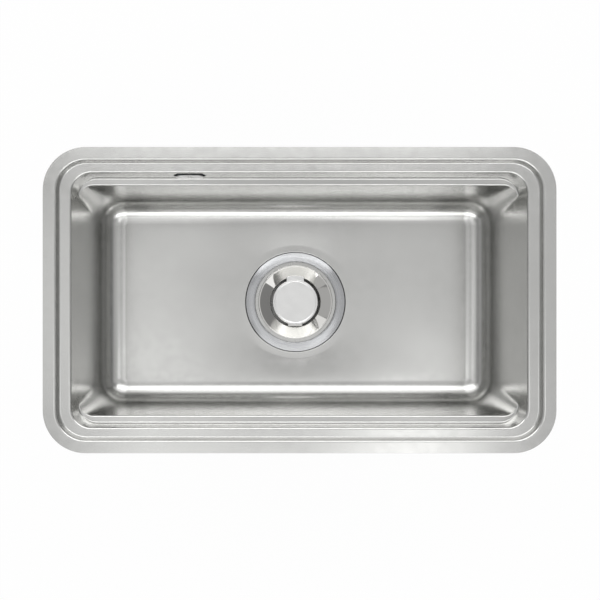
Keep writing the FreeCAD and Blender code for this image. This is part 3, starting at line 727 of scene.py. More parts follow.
@dataclass(frozen=True)
class Outline:
    """Rounded rectangle round the bowl's upright axis, in millimetres."""

    half_x: float
    half_y: float
    radius: float

    corner_steps: int = 16
    long_steps: int = 40
    short_steps: int = 22

    def grown(self, by: float) -> "Outline":
        """Return the outline moved outward, or inward where by is negative."""
        return Outline(self.half_x + by, self.half_y + by, self.radius + by)

    def towards(self, other: "Outline", share: float) -> "Outline":
        """Return the outline part of the way to another one."""
        return Outline(
            self.half_x + (other.half_x - self.half_x) * share,
            self.half_y + (other.half_y - self.half_y) * share,
            self.radius + (other.radius - self.radius) * share,
        )

    def points(self) -> list[tuple[float, float]]:
        """Return points round the outline, as many for every outline and in the same order."""
        flat_x = self.half_x - self.radius
        flat_y = self.half_y - self.radius
        corners = ((flat_x, -flat_y), (flat_x, flat_y), (-flat_x, flat_y), (-flat_x, -flat_y))
        found: list[tuple[float, float]] = []
        for turn, (corner_x, corner_y) in enumerate(corners):
            for step in range(self.corner_steps + 1):
                angle = math.pi / 2.0 * (turn - 1.0 + step / self.corner_steps)
                across, along = self.radius * math.cos(angle), self.radius * math.sin(angle)
                found.append((corner_x + across, corner_y + along))
            side_steps = self.short_steps if turn % 2 == 0 else self.long_steps
            start = Vector(found[-1])
            next_x, next_y = corners[(turn + 1) % 4]
            leaving = math.pi / 2.0 * turn
            across, along = self.radius * math.cos(leaving), self.radius * math.sin(leaving)
            end = Vector((next_x + across, next_y + along))
            for step in range(1, side_steps):
                found.append(tuple(start.lerp(end, step / side_steps)))
        return found


@dataclass
class PressedBowl:
    """The bowl: one sheet pressed into rim, ledge, rails, walls, falling floor and waste recess."""

    sheet: float = 1.2
    rim_corner: float = 65.0
    rim_flat: float = 18.6
    step_depth: float = 9.0
    step_draft: float = 4.4
    end_ledge: float = 17.2
    side_ledge: float = 14.3
    wall_corner: float = 31.0
    draft: float = math.radians(1.8)
    rail_depth: float = 46.0
    rail_width: float = 11.8
    rail_ease: float = 3.0
    rail_fall: float = 0.5
    rail_corner: float = 23.0
    depth: float = 200.0
    floor_fillet: float = 36.0
    floor_corner: float = 40.0
    floor_fall: float = 5.0
    pressed_radius: float = 3.2
    foot_radius: float = 2.2
    surround_radius: float = 102.0
    recess_radius: float = 91.7
    seat_radius: float = 90.4
    seat_recess: float = 2.6
    hole_radius: float = 76.6
    slot_length: float = 50.0
    slot_height: float = 20.0
    edge_round: float = 0.25
    inside_frame: float = 0.02
    rows: list[list[tuple[float, float, float]]] = field(default_factory=list)

    def __post_init__(self) -> None:
        """Work out the outlines from the frame's bowl."""
        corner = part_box("bowl")[1] / MM
        self.rim = Outline(corner.x, corner.y, self.rim_corner).grown(-self.inside_frame)
        self.step_top = self.rim.grown(-self.rim_flat)
        self.step_foot = self.step_top.grown(-self.step_draft)
        self.upper_top = Outline(
            self.step_foot.half_x - self.end_ledge,
            self.step_foot.half_y - self.side_ledge,
            self.wall_corner,
        )
        slope = math.tan(self.draft)
        self.upper_foot = self.upper_top.grown(
            -(self.rail_depth - self.rail_ease - self.step_depth) * slope
        )
        self.lower_top = Outline(
            self.upper_foot.half_x, self.upper_foot.half_y - self.rail_width, self.rail_corner
        )
        lower_draft = (self.depth - self.rail_depth - self.rail_ease) * slope
        self.lower_foot = Outline(
            self.lower_top.half_x - lower_draft,
            self.lower_top.half_y - lower_draft,
            self.floor_corner,
        )
        self.floor_outline = self.lower_foot.grown(
            -self.floor_fillet * math.tan((math.pi / 2.0 - self.draft) / 2.0)
        )

    def add_row(self, outline: Outline, height: float) -> None:
        """Add a row of points round an outline at one height."""
        self.rows.append([(x, y, height) for x, y in outline.points()])

    def add_bend(
        self, outline: Outline, height: float, arriving: Vector, leaving: Vector, radius: float
    ) -> None:
        """Add the rows of a rounded corner of the section.

        Args:
            outline: Outline through the sharp corner.
            height: Height of the sharp corner.
            arriving: Outward and upward way from the corner back along the section.
            leaving: Outward and upward way from the corner on along the section.
            radius: Radius of the bend.
        """
        far = 4.0 * radius
        before = arriving.normalized() * far
        after = leaving.normalized() * far
        section = rounded_profile(
            ((before.x, before.y, 0.0), (0.0, 0.0, radius), (after.x, after.y, 0.0)), closed=False
        )[1:-1]
        guard = 0.35
        first = Vector(section[0]) + arriving.normalized() * guard
        last = Vector(section[-1]) + leaving.normalized() * guard
        for across, up in (tuple(first), *section, tuple(last)):
            self.add_row(outline.grown(across), height + up)

    def add_rail(self) -> None:
        """Add the rail, which narrows along Y alone and runs out at the short walls."""
        ease_steps = 6
        middle = -self.rail_depth
        fall = self.rail_fall / 2.0

        def row(share: float, radius: float, height: float) -> None:
            shape = Outline(
                self.upper_foot.half_x, self.upper_foot.half_y - self.rail_width * share, radius
            )
            self.add_row(shape, height)

        for angle in quarter_angles(ease_steps):
            inward = self.rail_ease * (1.0 - math.cos(angle))
            row(
                inward / self.rail_width,
                self.upper_foot.radius - inward,
                middle + fall + (self.rail_ease - fall) * (1.0 - math.sin(angle)),
            )
        for angle in quarter_angles(ease_steps):
            outward = self.rail_ease * (1.0 - math.sin(angle))
            row(
                1.0 - outward / self.rail_width,
                self.lower_top.radius + outward,
                middle - fall - (self.rail_ease - fall) * (1.0 - math.cos(angle)),
            )

    def floor_height(self, x: float, y: float) -> float:
        """Height of the floor's top at a point, which falls to the waste's surround."""
        roundness = 6.0
        reach = math.hypot(x, y)
        across = abs(x) / reach / self.floor_outline.half_x
        along = abs(y) / reach / self.floor_outline.half_y
        edge = (across**roundness + along**roundness) ** (-1.0 / roundness)
        share = (edge - reach) / (edge - self.surround_radius)
        share = min(max(share, 0.0), 1.0)
        return -self.depth - self.floor_fall * share**1.5

    def add_floor(self) -> None:
        """Add the floor's rows, from the wall's bend in to the waste's round surround."""
        floor_steps = 16
        outer = [Vector(point) for point in self.floor_outline.points()]
        for step in range(1, floor_steps + 1):
            row = []
            for start in outer:
                inner = start * (self.surround_radius / math.hypot(start.x, start.y))
                point = start.lerp(inner, step / floor_steps)
                row.append((point.x, point.y, self.floor_height(point.x, point.y)))
            self.rows.append(row)
        surround_z = -self.depth - self.floor_fall
        seat_z = surround_z - self.seat_recess
        section = rounded_profile(
            (
                (self.surround_radius, surround_z, 0.0),
                (self.recess_radius, surround_z, 1.0),
                (self.seat_radius, seat_z, 0.6),
                (self.hole_radius, seat_z, 0.0),
            ),
            closed=False,
        )[1:]
        for radius, height in section:
            spokes = [start / math.hypot(start.x, start.y) * radius for start in outer]
            self.rows.append([(spoke.x, spoke.y, height) for spoke in spokes])

    def section_rows(self) -> None:
        """Add every row of the sheet's upper side, from the rim's edge in to the waste hole."""
        outward = Vector((1.0, 0.0))
        inward = Vector((-1.0, 0.0))
        up_step = Vector((self.step_draft, self.step_depth))
        up_wall = Vector((math.sin(self.draft), math.cos(self.draft)))
        self.add_row(self.rim, -self.edge_round)
        self.add_row(self.rim.grown(-self.edge_round), 0.0)
        self.add_row(self.rim.grown(-2.0 * self.edge_round), 0.0)
        self.add_bend(self.step_top, 0.0, outward, -up_step, self.pressed_radius)
        self.add_bend(self.step_foot, -self.step_depth, up_step, inward, self.foot_radius)
        self.add_bend(self.upper_top, -self.step_depth, outward, -up_wall, self.pressed_radius)
        above_slot = 5.0
        drawn_in = self.upper_top.grown(-math.tan(self.draft) * above_slot)
        self.add_row(drawn_in, -self.step_depth - above_slot)
        self.add_rail()
        wall_steps = 12
        top_z = -self.rail_depth - self.rail_ease
        drop = self.floor_fillet * math.cos(self.draft) - self.depth - top_z
        foot = self.lower_foot.grown(self.floor_fillet * math.sin(self.draft))
        for step in range(1, wall_steps):
            share = step / wall_steps
            self.add_row(self.lower_top.towards(foot, share), top_z + drop * share)
        self.add_bend(self.lower_foot, -self.depth, up_wall, inward, self.floor_fillet)
        self.add_floor()

    def build(self) -> None:
        """Build the bowl's sheet, satin inside and mill-finished outside, with its overflow slot."""
        self.section_rows()
        shape = bmesh.new()
        rings = [[shape.verts.new(point) for point in row] for row in self.rows]
        skin_rings(shape, rings)
        shape.normal_update()
        made = mesh_object("bowl_sheet", shape)
        dress(made, SATIN, MILL)
        skin = made.modifiers.new("sheet_thickness", "SOLIDIFY")
        skin.thickness = self.sheet * MM
        skin.offset = -1.0
        skin.use_even_offset = True
        skin.material_offset = 1
        settled(made)
        cut(made, overflow_slot_tool())
        shade(made)
        stand_in(made, Body.SINK, Slot.SATIN_STEEL, SATIN, "bowl")


def slot_outline(length: float, height: float) -> list[tuple[float, float]]:
    """Points of a slot with round ends, about its middle."""
    radius = height / 2.0
    end_steps = 20
    points = []
    for side in (1.0, -1.0):
        for step in range(end_steps + 1):
            angle = math.pi * (step / end_steps - 0.5)
            across = length / 2.0 - radius + radius * math.cos(angle)
            points.append((side * across, side * radius * math.sin(angle)))
    return points


def shifted(outline: Loop, by: float) -> Loop:
    """Move an outline along X."""
    return [(x + by, y) for x, y in outline]


def rectangle(half: float, near: float, far: float) -> Loop:
    """Corners of a rectangle of this half width about the Y axis, between two places along it."""
    return (-half, near), (half, near), (half, far), (-half, far)


def ring_outline(radius: float, steps: int = 32) -> list[tuple[float, float]]:
    """Points of a circle, or of a regular polygon, about the origin."""
    turns = [2.0 * math.pi * step / steps for step in range(steps)]
    return [(radius * math.cos(turn), radius * math.sin(turn)) for turn in turns]


def overflow_place() -> Matrix:
    """Turn a piece drawn flat, front up, to stand on the drafted back wall at the overflow."""
    bowl = PressedBowl
    low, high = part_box("overflow_cover")
    middle = (low + high) / 2.0
    inset = (bowl.rim_flat + bowl.step_draft + bowl.side_ledge) * MM
    drawn_in = (-middle.z - bowl.step_depth * MM) * math.tan(bowl.draft)
    wall_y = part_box("bowl")[1].y - inset - drawn_in
    upright = Matrix.Rotation(math.pi / 2.0 - bowl.draft, 4, "X")
    return Matrix.Translation((middle.x, wall_y, middle.z)) @ upright


def overflow_slot_tool() -> Piece:
    """The slot's shape, to be cut from the back wall."""
    reach = 4.0
    outline = slot_outline(PressedBowl.slot_length, PressedBowl.slot_height)
    tool = prism("overflow_slot", outline, -reach, reach)
    tool.matrix_world = overflow_place()
    bpy.context.view_layer.update()
    return tool


@dataclass(frozen=True)
class Strainer:
    """What shows of the waste from above: spun flange, buffed funnel and satin cap."""

    throat: float = 74.0
    neck_wall: float = 2.0
    neck_lead: float = 1.0
    neck_plain: float = 8.0
    flange_thickness: float = 3.1
    flange_edge: float = 0.3
    crown_foot: float = 6.5
    crown_drop: float = 1.15
    crown_radius: float = 60.0
    lip_width: float = 1.6
    lip_groove: float = 0.4
    shelf_drop: float = 8.0
    shelf_width: float = 7.5
    shelf_thickness: float = 2.0
    thread_pitch: float = 3.0
    thread_depth: float = 0.9
    funnel_opening: float = 46.0
    funnel_sheet: float = 1.0
    funnel_bead: float = 2.6
    cone_slope: float = math.radians(31.0)
    lug_width: float = 26.0
    lug_depth: float = 8.0
    cap_sheet: float = 1.0
    cap_bead: float = 3.2
    cap_field_drop: float = 0.55
    tab_width: float = 32.0
    tab_root: float = 5.0
    notch_width: float = 29.0
    notch_bite: float = 1.7

    def flange(self) -> None:
        """Build the spun flange with its rolled lip, throat, basket shelf and threaded neck."""
        foot, top = span("drain_flange")
        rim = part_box("drain_flange")[1].x / MM
        under = top - self.flange_thickness
        neck = self.throat + self.neck_wall
        shelf = top - self.shelf_drop
        shelf_edge = self.throat - self.shelf_width
        thread_foot, thread_top = foot + self.neck_lead, under - self.neck_plain
        thread = threaded(neck, thread_foot, thread_top, self.thread_pitch, self.thread_depth)
        corners = [
            (neck, under, 0.3),
            (rim, under, 0.3),
            (rim, under + self.flange_edge, 0.4),
            (rim - self.crown_foot, top - self.crown_drop, self.crown_radius),
            (self.throat + self.lip_width + 0.5, top - self.lip_groove, 0.5),
            (self.throat + self.lip_width, top, 0.8),
            (self.throat, top, 1.1),
            (self.throat, shelf, 0.6),
            (shelf_edge, shelf, 0.4),
            (shelf_edge, shelf - self.shelf_thickness, 0.4),
            (self.throat, shelf - self.shelf_thickness, 0.6),
            (self.throat, foot, 0.3),
            (neck - self.thread_depth, foot, 0.3),
            *thread,
        ]
        made = turned("spun_flange", corners)
        stand_in(made, Body.SINK, Slot.POLISHED_STEEL, SPUN, "drain_flange")

    def funnel(self) -> None:
        """Build the buffed funnel with its rolled bead and the two lugs that carry the cap."""
        foot, top = span("strainer_funnel")
        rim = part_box("strainer_funnel")[1].x / MM
        wall = self.funnel_sheet
        seat = span("strainer_basket")[1]
        cone_foot = top - (rim - self.funnel_bead - self.funnel_opening) * math.tan(self.cone_slope)
        corners = (
            (rim - wall, seat, 0.3),
            (rim, seat, 0.3),
            (rim, top, 1.2),
            (rim - self.funnel_bead, top, 1.2),
            (self.funnel_opening, cone_foot, 2.2),
            (self.funnel_opening, foot, 0.3),
            (self.funnel_opening + wall, foot, 0.3),
            (self.funnel_opening + wall, cone_foot - wall, 1.5),
            (rim - wall, top - 2.0 * wall, 0.8),
        )
        inner = self.funnel_opening - self.lug_depth
        outer = self.funnel_opening + wall / 2.0 - 2.0
        lugs = []
        for side, name in ((1.0, "back_lug"), (-1.0, "front_lug")):
            outline = rectangle(self.lug_width / 2.0, side * inner, side * outer)
            lugs.append(prism(name, outline, foot, foot + wall))
        made = joined("buffed_funnel", turned("funnel_cone", corners), *lugs)
        stand_in(made, Body.FUNNEL, Slot.POLISHED_STEEL, MIRROR, "strainer_funnel")

    def cap(self) -> None:
        """Build the satin cap with its raised bead, lifting tab and finger notch."""
        foot, top = span("strainer_cap")
        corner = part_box("strainer_cap")[1] / MM
        rim, reach = corner.x, corner.y
        wall = self.cap_sheet
        field_top = top - self.cap_field_drop
        corners = (
            (0.0, field_top - wall, 0.0),
            (rim - wall, field_top - wall, 1.0),
            (rim - wall, foot, 0.3),
            (rim, foot, 0.3),
            (rim, top, 1.5),
            (rim - self.cap_bead, top, 1.3),
            (rim - self.cap_bead - 1.4, field_top, 1.6),
            (0.0, field_top, 0.0),
        )
        cover = turned("cap_cover", corners, closed=False)
        bite = self.notch_bite
        outline = rectangle(self.notch_width / 2.0, -rim - wall, -rim + bite)
        cut(cover, prism("finger_notch", outline, top - bite, top + wall))
        half = self.tab_width / 2.0
        steps = 12
        opening = math.asin(half / reach)
        turns = [opening * (2.0 * step / steps - 1.0) for step in range(steps + 1)]
        arc = [(reach * math.sin(turn), reach * math.cos(turn)) for turn in turns]
        root = rim - self.tab_root
        outline = [(-half, root), *arc, (half, root)]
        inset = [(x * 0.985, y - 0.35) for x, y in outline]
        tab_top = top - 0.3
        tab_foot = tab_top - wall
        heights = (tab_foot, tab_foot + 0.3, tab_top - 0.3, tab_top)
        tab = lofted("lifting_tab", list(zip((inset, outline, outline, inset), heights)))
        made = joined("satin_cap", cover, tab)
        stand_in(made, Body.CAP, Slot.SATIN_STEEL, CAP_SATIN, "strainer_cap")

    def build(self) -> None:
        """Build the three pieces, and dress the basket, which keeps the frame's own holes."""
        self.flange()
        self.funnel()
        self.cap()
        carry_over(ELECTROPOLISHED, "strainer_basket")


@dataclass(frozen=True)
class Overflow:
    """Cover and screw in the back wall, elbow behind it, ribbed hose and its bands."""

    cover_length: float = 43.0
    cover_height: float = 17.0
    cover_stand: float = 1.6
    cover_thickness: float = 1.5
    post_radius: float = 4.0
    post_depth: float = 2.7
    head_radius: float = 3.6
    head_dome: float = 1.4
    head_slot: float = 0.8
    shank_radius: float = 2.0
    shank_length: float = 12.0
    shank_pitch: float = 0.7
    shank_thread: float = 0.25
    elbow_back: float = 2.75
    elbow_length: float = 62.0
    elbow_height: float = 32.0
    elbow_depth: float = 24.0
    elbow_wall: float = 2.5
    elbow_corner: float = 5.0

    def cover(self) -> None:
        """Build the cover: a plate with rounded ends and a soft edge, on its post."""
        front = self.cover_stand + self.cover_thickness
        rows = [
            (slot_outline(self.cover_length - 2.0 * inset, self.cover_height - 2.0 * inset), height)
            for inset, height in (
                (0.25, self.cover_stand),
                (0.0, self.cover_stand + 0.3),
                (0.0, front - 0.6),
                (0.18, front - 0.25),
                (0.6, front),
            )
        ]
        foot, top = -self.post_depth, self.cover_stand + 0.2
        places = ((0.0, foot), (self.post_radius, foot), (self.post_radius, top), (0.0, top))
        post = turned("cover_post", [(*place, 0.0) for place in places], closed=False, steps=40)
        made = joined("overflow_plate", lofted("cover_plate", rows), post)
        placed(made, overflow_place())
        stand_in(made, Body.SINK, Slot.SATIN_STEEL, CAP_SATIN, "overflow_cover")

    def screw(self) -> None:
        """Build the slotted, domed screw."""
        front = self.cover_stand + self.cover_thickness
        head = turned(
            "slotted_head",
            (
                (0.0, front, 0.0),
                (self.head_radius, front, 0.0),
                (self.head_radius, front + 0.5, 0.3),
                (self.head_radius - 1.0, front + self.head_dome, 2.0),
                (0.0, front + self.head_dome, 0.0),
            ),
            closed=False,
            steps=48,
        )
        half = self.head_slot / 2.0
        outline = rectangle(self.head_radius + 1.0, -half, half)
        crown = front + self.head_dome
        slot = prism("driver_slot", outline, crown - self.head_slot, crown + 1.0)
        cut(head, slot)
        tip = front - self.shank_length
        thread = threaded(self.shank_radius, tip, front, self.shank_pitch, self.shank_thread)
        corners = [(0.0, tip, 0.0), *thread, (0.0, front, 0.0)]
        shank = turned("screw_shank", corners, closed=False, steps=32)
        made = joined("overflow_slotted_screw", head, shank)
        placed(made, overflow_place())
        stand_in(made, Body.SINK, Slot.FASTENER_STEEL, CAP_SATIN, "overflow_screw")

    def rounded_box(
        self, inset: float, back: float, depth: float, corner: float
    ) -> list[tuple[Loop, float]]:
        """Rows of a box behind the wall, open to the wall, with its far edges rounded."""
        rows = []
        half_x = self.elbow_length / 2.0 - inset
        half_y = self.elbow_height / 2.0 - inset
        least_corner = 0.4
        for angle in quarter_angles(6):
            shrink = corner * (1.0 - math.sin(angle))
            height = -back - depth + corner * (1.0 - math.cos(angle))
            outline = Outline(half_x - shrink, half_y - shrink, max(corner - shrink, least_corner))
            rows.append((outline.points(), height))
        rows.append((Outline(half_x, half_y, corner).points(), -back))
        return rows

    def elbow(self) -> None:
        """Build the moulded elbow: a hollow box with the collar and nipple that take the hose."""
        wall, back, depth, corner = self.elbow_wall, self.elbow_back, self.elbow_depth, self.elbow_corner
        block = lofted("elbow_box", self.rounded_box(0.0, back, depth, corner))
        inside = self.rounded_box(wall, back - 1.0, depth - wall + 1.0, corner - wall)
        cut(block, lofted("elbow_hollow", inside))
        placed(block, overflow_place())
        hose = Hose()
        mouth = hose.mouth_z
        root = mouth + hose.collar + 1.0
        collar = turned(
            "elbow_collar",
            (
                (hose.nipple_bore, mouth - hose.nipple_length, 0.3),
                (hose.nipple_radius, mouth - hose.nipple_length, 0.5),
                (hose.nipple_radius, mouth, 0.4),
                (hose.collar_radius, mouth, 0.8),
                (hose.collar_radius, root, 0.0),
                (hose.nipple_bore, root, 0.0),
            ),
            steps=64,
        )
        placed(collar, Matrix.Translation((hose.top_x * MM, hose.top_y * MM, 0.0)))
        made = joined("elbow_moulding", block, collar)
        stand_in(made, Body.SINK, Slot.TRAP_PLASTIC, TRAP_PLASTIC, "overflow_elbow")

    def build(self) -> None:
        """Build the overflow's own pieces and its hose."""
        self.cover()
        self.screw()
        self.elbow()
        Hose().build()


@dataclass(frozen=True)
class Hose:
    """Corrugated hose from the elbow's nipple to the trap's inlet, by the part's own measures.

    It drops straight down, turns through a quarter circle and runs level to the inlet, all in
    the upright plane through the waste's axis and the elbow's nipple.
    """

    top_x: float = -170.0
    top_y: float = 209.94
    mouth_z: float = -48.5
    inlet_z: float = -285.6
    inlet_face: float = 87.9
    bend_radius: float = 130.0
    root_radius: float = 10.8
    crest_radius: float = 12.5
    bore_radius: float = 9.5
    rib_pitch: float = 5.0
    collar: float = 5.0
    collar_radius: float = 13.0
    nipple_radius: float = 9.2
    nipple_bore: float = 7.6
    nipple_length: float = 18.0
    band_width: float = 9.0
    band_gap: float = 0.3
    band_thickness: float = 1.2
    sides: int = 48
    rib_steps: int = 8
    rib_crease: float = 50.0

    @property
    def run(self) -> float:
        """Distance of the elbow's nipple from the waste's axis."""
        return math.hypot(self.top_x, self.top_y)

    @property
    def outward(self) -> Vector:
        """Level direction from the waste's axis to the nipple."""
        return Vector((self.top_x, self.top_y, 0.0)).normalized()

    @property
    def drop(self) -> float:
        """Length of the straight drop before the bend."""
        return self.mouth_z - self.inlet_z - self.bend_radius

    @property
    def length(self) -> float:
        """Length of the hose between the two collars."""
        return self.drop + self.bend + self.run - self.bend_radius - self.inlet_face

    @property
    def bend(self) -> float:
        """Length of the quarter circle."""
        return self.bend_radius * math.pi / 2.0

    def station(self, along: float) -> tuple[Vector, Vector]:
        """Centre and heading of the hose at a length along it, from the nipple down."""
        up = Vector((0.0, 0.0, 1.0))
        level = self.run - self.bend_radius
        if along <= self.drop:
            return self.outward * self.run + up * (self.mouth_z - along), -up
        if along <= self.drop + self.bend:
            angle = (along - self.drop) / self.bend_radius
            centre = self.outward * level + up * (self.inlet_z + self.bend_radius)
            spoke = self.outward * math.cos(angle) - up * math.sin(angle)
            heading = -self.outward * math.sin(angle) - up * math.cos(angle)
            return centre + spoke * self.bend_radius, heading
        rest = along - self.drop - self.bend
        return self.outward * (level - rest) + up * self.inlet_z, -self.outward

    def swept(self, name: str, sections: Sequence[tuple[float, float]]) -> Piece:
        """Skin circles along the hose and back through its bore, so that the last joins the first.

        Args:
            name: Name of the piece.
            sections: Length along the hose and radius of each circle, in order.

        Returns:
            The swept piece.
        """
        side = self.outward.cross(Vector((0.0, 0.0, 1.0)))
        shape = bmesh.new()
        rings = []
        for along, radius in sections:
            centre, heading = self.station(along)
            over = heading.cross(side)
            ring = []
            for step in range(self.sides):
                angle = 2.0 * math.pi * step / self.sides
                spoke = side * math.cos(angle) + over * math.sin(angle)
                ring.append(shape.verts.new(centre + spoke * radius))
            rings.append(ring)
        skin_rings(shape, rings, closed=True)
        return shade(solid_object(name, shape), self.rib_crease)

    def rib_radius(self, share: float) -> float:
        """Radius within one rib by the share of its pitch, flat at crest and root."""
        wave = 0.5 - 0.5 * math.cos(2.0 * math.pi * share)
        crest = wave * wave * (3.0 - 2.0 * wave)
        return self.root_radius + (self.crest_radius - self.root_radius) * crest

    def skin(self) -> None:
        """Build the ribbed hose with its plain ends and bore."""
        plain = 2.0 * self.crest_radius
        ribs = int((self.length - 2.0 * plain) / self.rib_pitch)
        start = (self.length - ribs * self.rib_pitch) / 2.0
        sections = [(0.0, self.root_radius)]
        for step in range(ribs * self.rib_steps + 1):
            share = step / self.rib_steps
            sections.append((start + share * self.rib_pitch, self.rib_radius(share % 1.0)))
        sections.append((self.length, self.root_radius))
        bore_steps = 40
        for step in range(bore_steps, -1, -1):
            sections.append((self.length * step / bore_steps, self.bore_radius))
        LOG.info("hose %.1f mm long with %d ribs", self.length, ribs)
        made = self.swept("ribbed_hose", sections)
        stand_in(made, Body.SINK, Slot.HOSE_PLASTIC, HOSE_PLASTIC, "overflow_hose")

    def bands(self) -> None:
        """Build the two bands that clamp the plain ends."""
        inner = self.root_radius + self.band_gap
        outer = inner + self.band_thickness
        inset = (self.nipple_length - self.band_width) / 2.0
        ease = 0.25
        rings = []
        lower = self.length - inset - self.band_width
        for name, along in (("upper_band", inset), ("lower_band", lower)):
            end = along + self.band_width
            sections = (
                (along, inner),
                (along, outer - ease),
                (along + ease, outer),
                (end - ease, outer),
                (end, outer - ease),
                (end, inner),
            )
            rings.append(self.swept(name, sections))
        made = joined("clamp_bands", *rings)
        stand_in(made, Body.SINK, Slot.FASTENER_STEEL, ZINC, "hose_bands")

    def build(self) -> None:
        """Build hose and bands."""
        self.skin()
        self.bands()


@dataclass(frozen=True)
class Trap:
    """What hangs under the bowl: nuts, trap body, bell and tail pipe."""

    grip_ribs: int = 12
    grip_rib_radius: float = 2.5
    neck: float = 76.0
    thread_fit: float = 0.08
    lock_rim: float = 12.0
    coupling_wall: float = 9.0
    coupling_lip: float = 4.5
    wall: float = 3.0
    flange: float = 4.0
    flange_radius: float = 75.5
    pot_radius: float = 69.9
    waist_start: float = 56.0
    waist_length: float = 25.0
    waist_radius: float = 60.0
    standpipe_radius: float = 21.0
    standpipe_height: float = 54.0
    spigot_radius: float = 24.0
    spigot_length: float = 30.0
    spigot_plain: float = 6.0
    bell_radius: float = 36.0
    bell_wall: float = 2.0
    bell_shoulder: float = 9.0
    bell_knob: float = 8.0
    bell_knob_height: float = 9.0
    bell_rib: float = 3.0
    bell_rib_height: float = 7.0
    outlet_wall: float = 7.0
    outlet_lip: float = 4.0
    tail_radius: float = 20.0
    tail_bore: float = 18.2
    tail_flange: float = 3.0
    tail_plain: float = 50.0
    thread_pitch: float = 3.0
    thread_depth: float = 0.7

    def grip(self, outer: float) -> Callable[[float, float, float], float]:
        """Return the extra radius of a nut's round grip ribs by radius, height and angle."""

        def extra(radius: float, height: float, angle: float) -> float:
            if radius < outer - 1.0:
                return 0.0
            pitch = 2.0 * math.pi / self.grip_ribs
            aside = outer * ((angle + pitch / 2.0) % pitch - pitch / 2.0)
            bump = math.sqrt(max(self.grip_rib_radius**2 - aside**2, 0.0))
            return bump * min(1.0, 0.5 + (radius - outer + 1.0) / 2.0)

        return extra

    def nut(
        self, name: str, node: str, bore: float, lip_bore: float, outer: float, lip: float
    ) -> None:
        """Build a ring nut with grip ribs and, where its lip is higher than 0, an inward lip."""
        foot, top = span(node)
        corners = [(outer, foot, 1.2), (outer, top, 1.2), (bore, top, 0.5)]
        if lip > 0.0:
            ledge = foot + lip
            corners = [(lip_bore, foot, 0.4), *corners, (bore, ledge, 0.3), (lip_bore, ledge, 0.3)]
        else:
            corners = [(bore, foot, 0.5), *corners]
        made = turned(name, corners, steps=720, swell=self.grip(outer))
        stand_in(made, Body.SINK, Slot.NUT_PLASTIC, NUT_PLASTIC, node)

    def body(self) -> None:
        """Build the trap's pot with its standpipe, outlet spigot and hose inlet."""
        foot, top = span("trap_body")
        hose = Hose()
        waist_top = top - self.waist_start
        waist_foot = waist_top - self.waist_length
        bottom = foot + self.spigot_length
        bore = self.standpipe_radius - self.wall
        pipe_foot = bottom + self.wall
        pipe_top = pipe_foot + self.standpipe_height
        thread_top = bottom - self.spigot_plain
        thread = threaded(self.spigot_radius, foot, thread_top, self.thread_pitch, self.thread_depth)
        pot = turned(
            "trap_pot",
            (
                (self.pot_radius - self.wall, top, 0.4),
                (self.flange_radius, top, 0.5),
                (self.flange_radius, top - self.flange, 0.8),
                (self.pot_radius, top - self.flange, 0.8),
                (self.pot_radius, waist_top, 10.0),
                (self.waist_radius, waist_foot, 10.0),
                (self.waist_radius, bottom, 5.0),
                (self.spigot_radius, bottom, 2.0),
                *reversed(thread),
                (bore, foot, 0.4),
                (bore, pipe_top, 0.8),
                (self.standpipe_radius, pipe_top, 0.8),
                (self.standpipe_radius, pipe_foot, 2.0),
                (self.waist_radius - self.wall, pipe_foot, 3.0),
                (self.waist_radius - self.wall, waist_foot, 8.0),
                (self.pot_radius - self.wall, waist_top, 8.0),
            ),
        )
        root = self.pot_radius - 2.0
        tip = hose.inlet_face + hose.nipple_length
        inlet = turned(
            "trap_inlet",
            (
                (hose.nipple_bore, root, 0.0),
                (hose.collar_radius, root, 0.0),
                (hose.collar_radius, hose.inlet_face, 0.8),
                (hose.nipple_radius, hose.inlet_face, 0.4),
                (hose.nipple_radius, tip, 0.5),
                (hose.nipple_bore, tip, 0.3),
            ),
            steps=64,
        )
        level = Vector((0.0, 0.0, 1.0)).rotation_difference(hose.outward).to_matrix().to_4x4()
        placed(inlet, Matrix.Translation((0.0, 0.0, hose.inlet_z * MM)) @ level)
        made = joined("trap_moulding", pot, inlet)
        stand_in(made, Body.SINK, Slot.TRAP_PLASTIC, TRAP_PLASTIC, "trap_body")

    def bell(self) -> None:
        """Build the bell with its knob and the cross ribs that stand on the standpipe."""
        foot, top = span("bell_trap")
        roof = top - self.bell_knob_height
        ceiling = roof - self.bell_wall
        shoulder = roof - self.bell_shoulder
        inner = self.bell_radius - self.bell_wall
        neck = self.bell_knob - 1.5
        shell = turned(
            "bell_shell",
            (
                (0.0, ceiling, 0.0),
                (self.bell_radius - self.bell_shoulder - 1.0, ceiling, 3.0),
                (inner, shoulder, 4.0),
                (inner, foot, 0.4),
                (self.bell_radius, foot, 0.6),
                (self.bell_radius, shoulder, 6.0),
                (self.bell_radius - self.bell_shoulder, roof, 4.0),
                (neck, roof, 2.0),
                (neck, top - 4.0, 1.5),
                (self.bell_knob, top - 3.0, 1.0),
                (self.bell_knob, top, 1.5),
                (0.0, top, 0.0),
            ),
            closed=False,
            steps=96,
        )
        pipe_top = ceiling - self.bell_rib_height
        reach = self.bell_radius - self.bell_shoulder - self.bell_wall
        half = self.bell_rib / 2.0
        ribs = [
            prism(name, rectangle(across, -along, along), pipe_top, roof - 1.0)
            for name, across, along in (("rib_along", reach, half), ("rib_across", half, reach))
        ]
        made = joined("bell_moulding", shell, *ribs)
        stand_in(made, Body.BELL, Slot.TRAP_PLASTIC, TRAP_PLASTIC, "bell_trap")

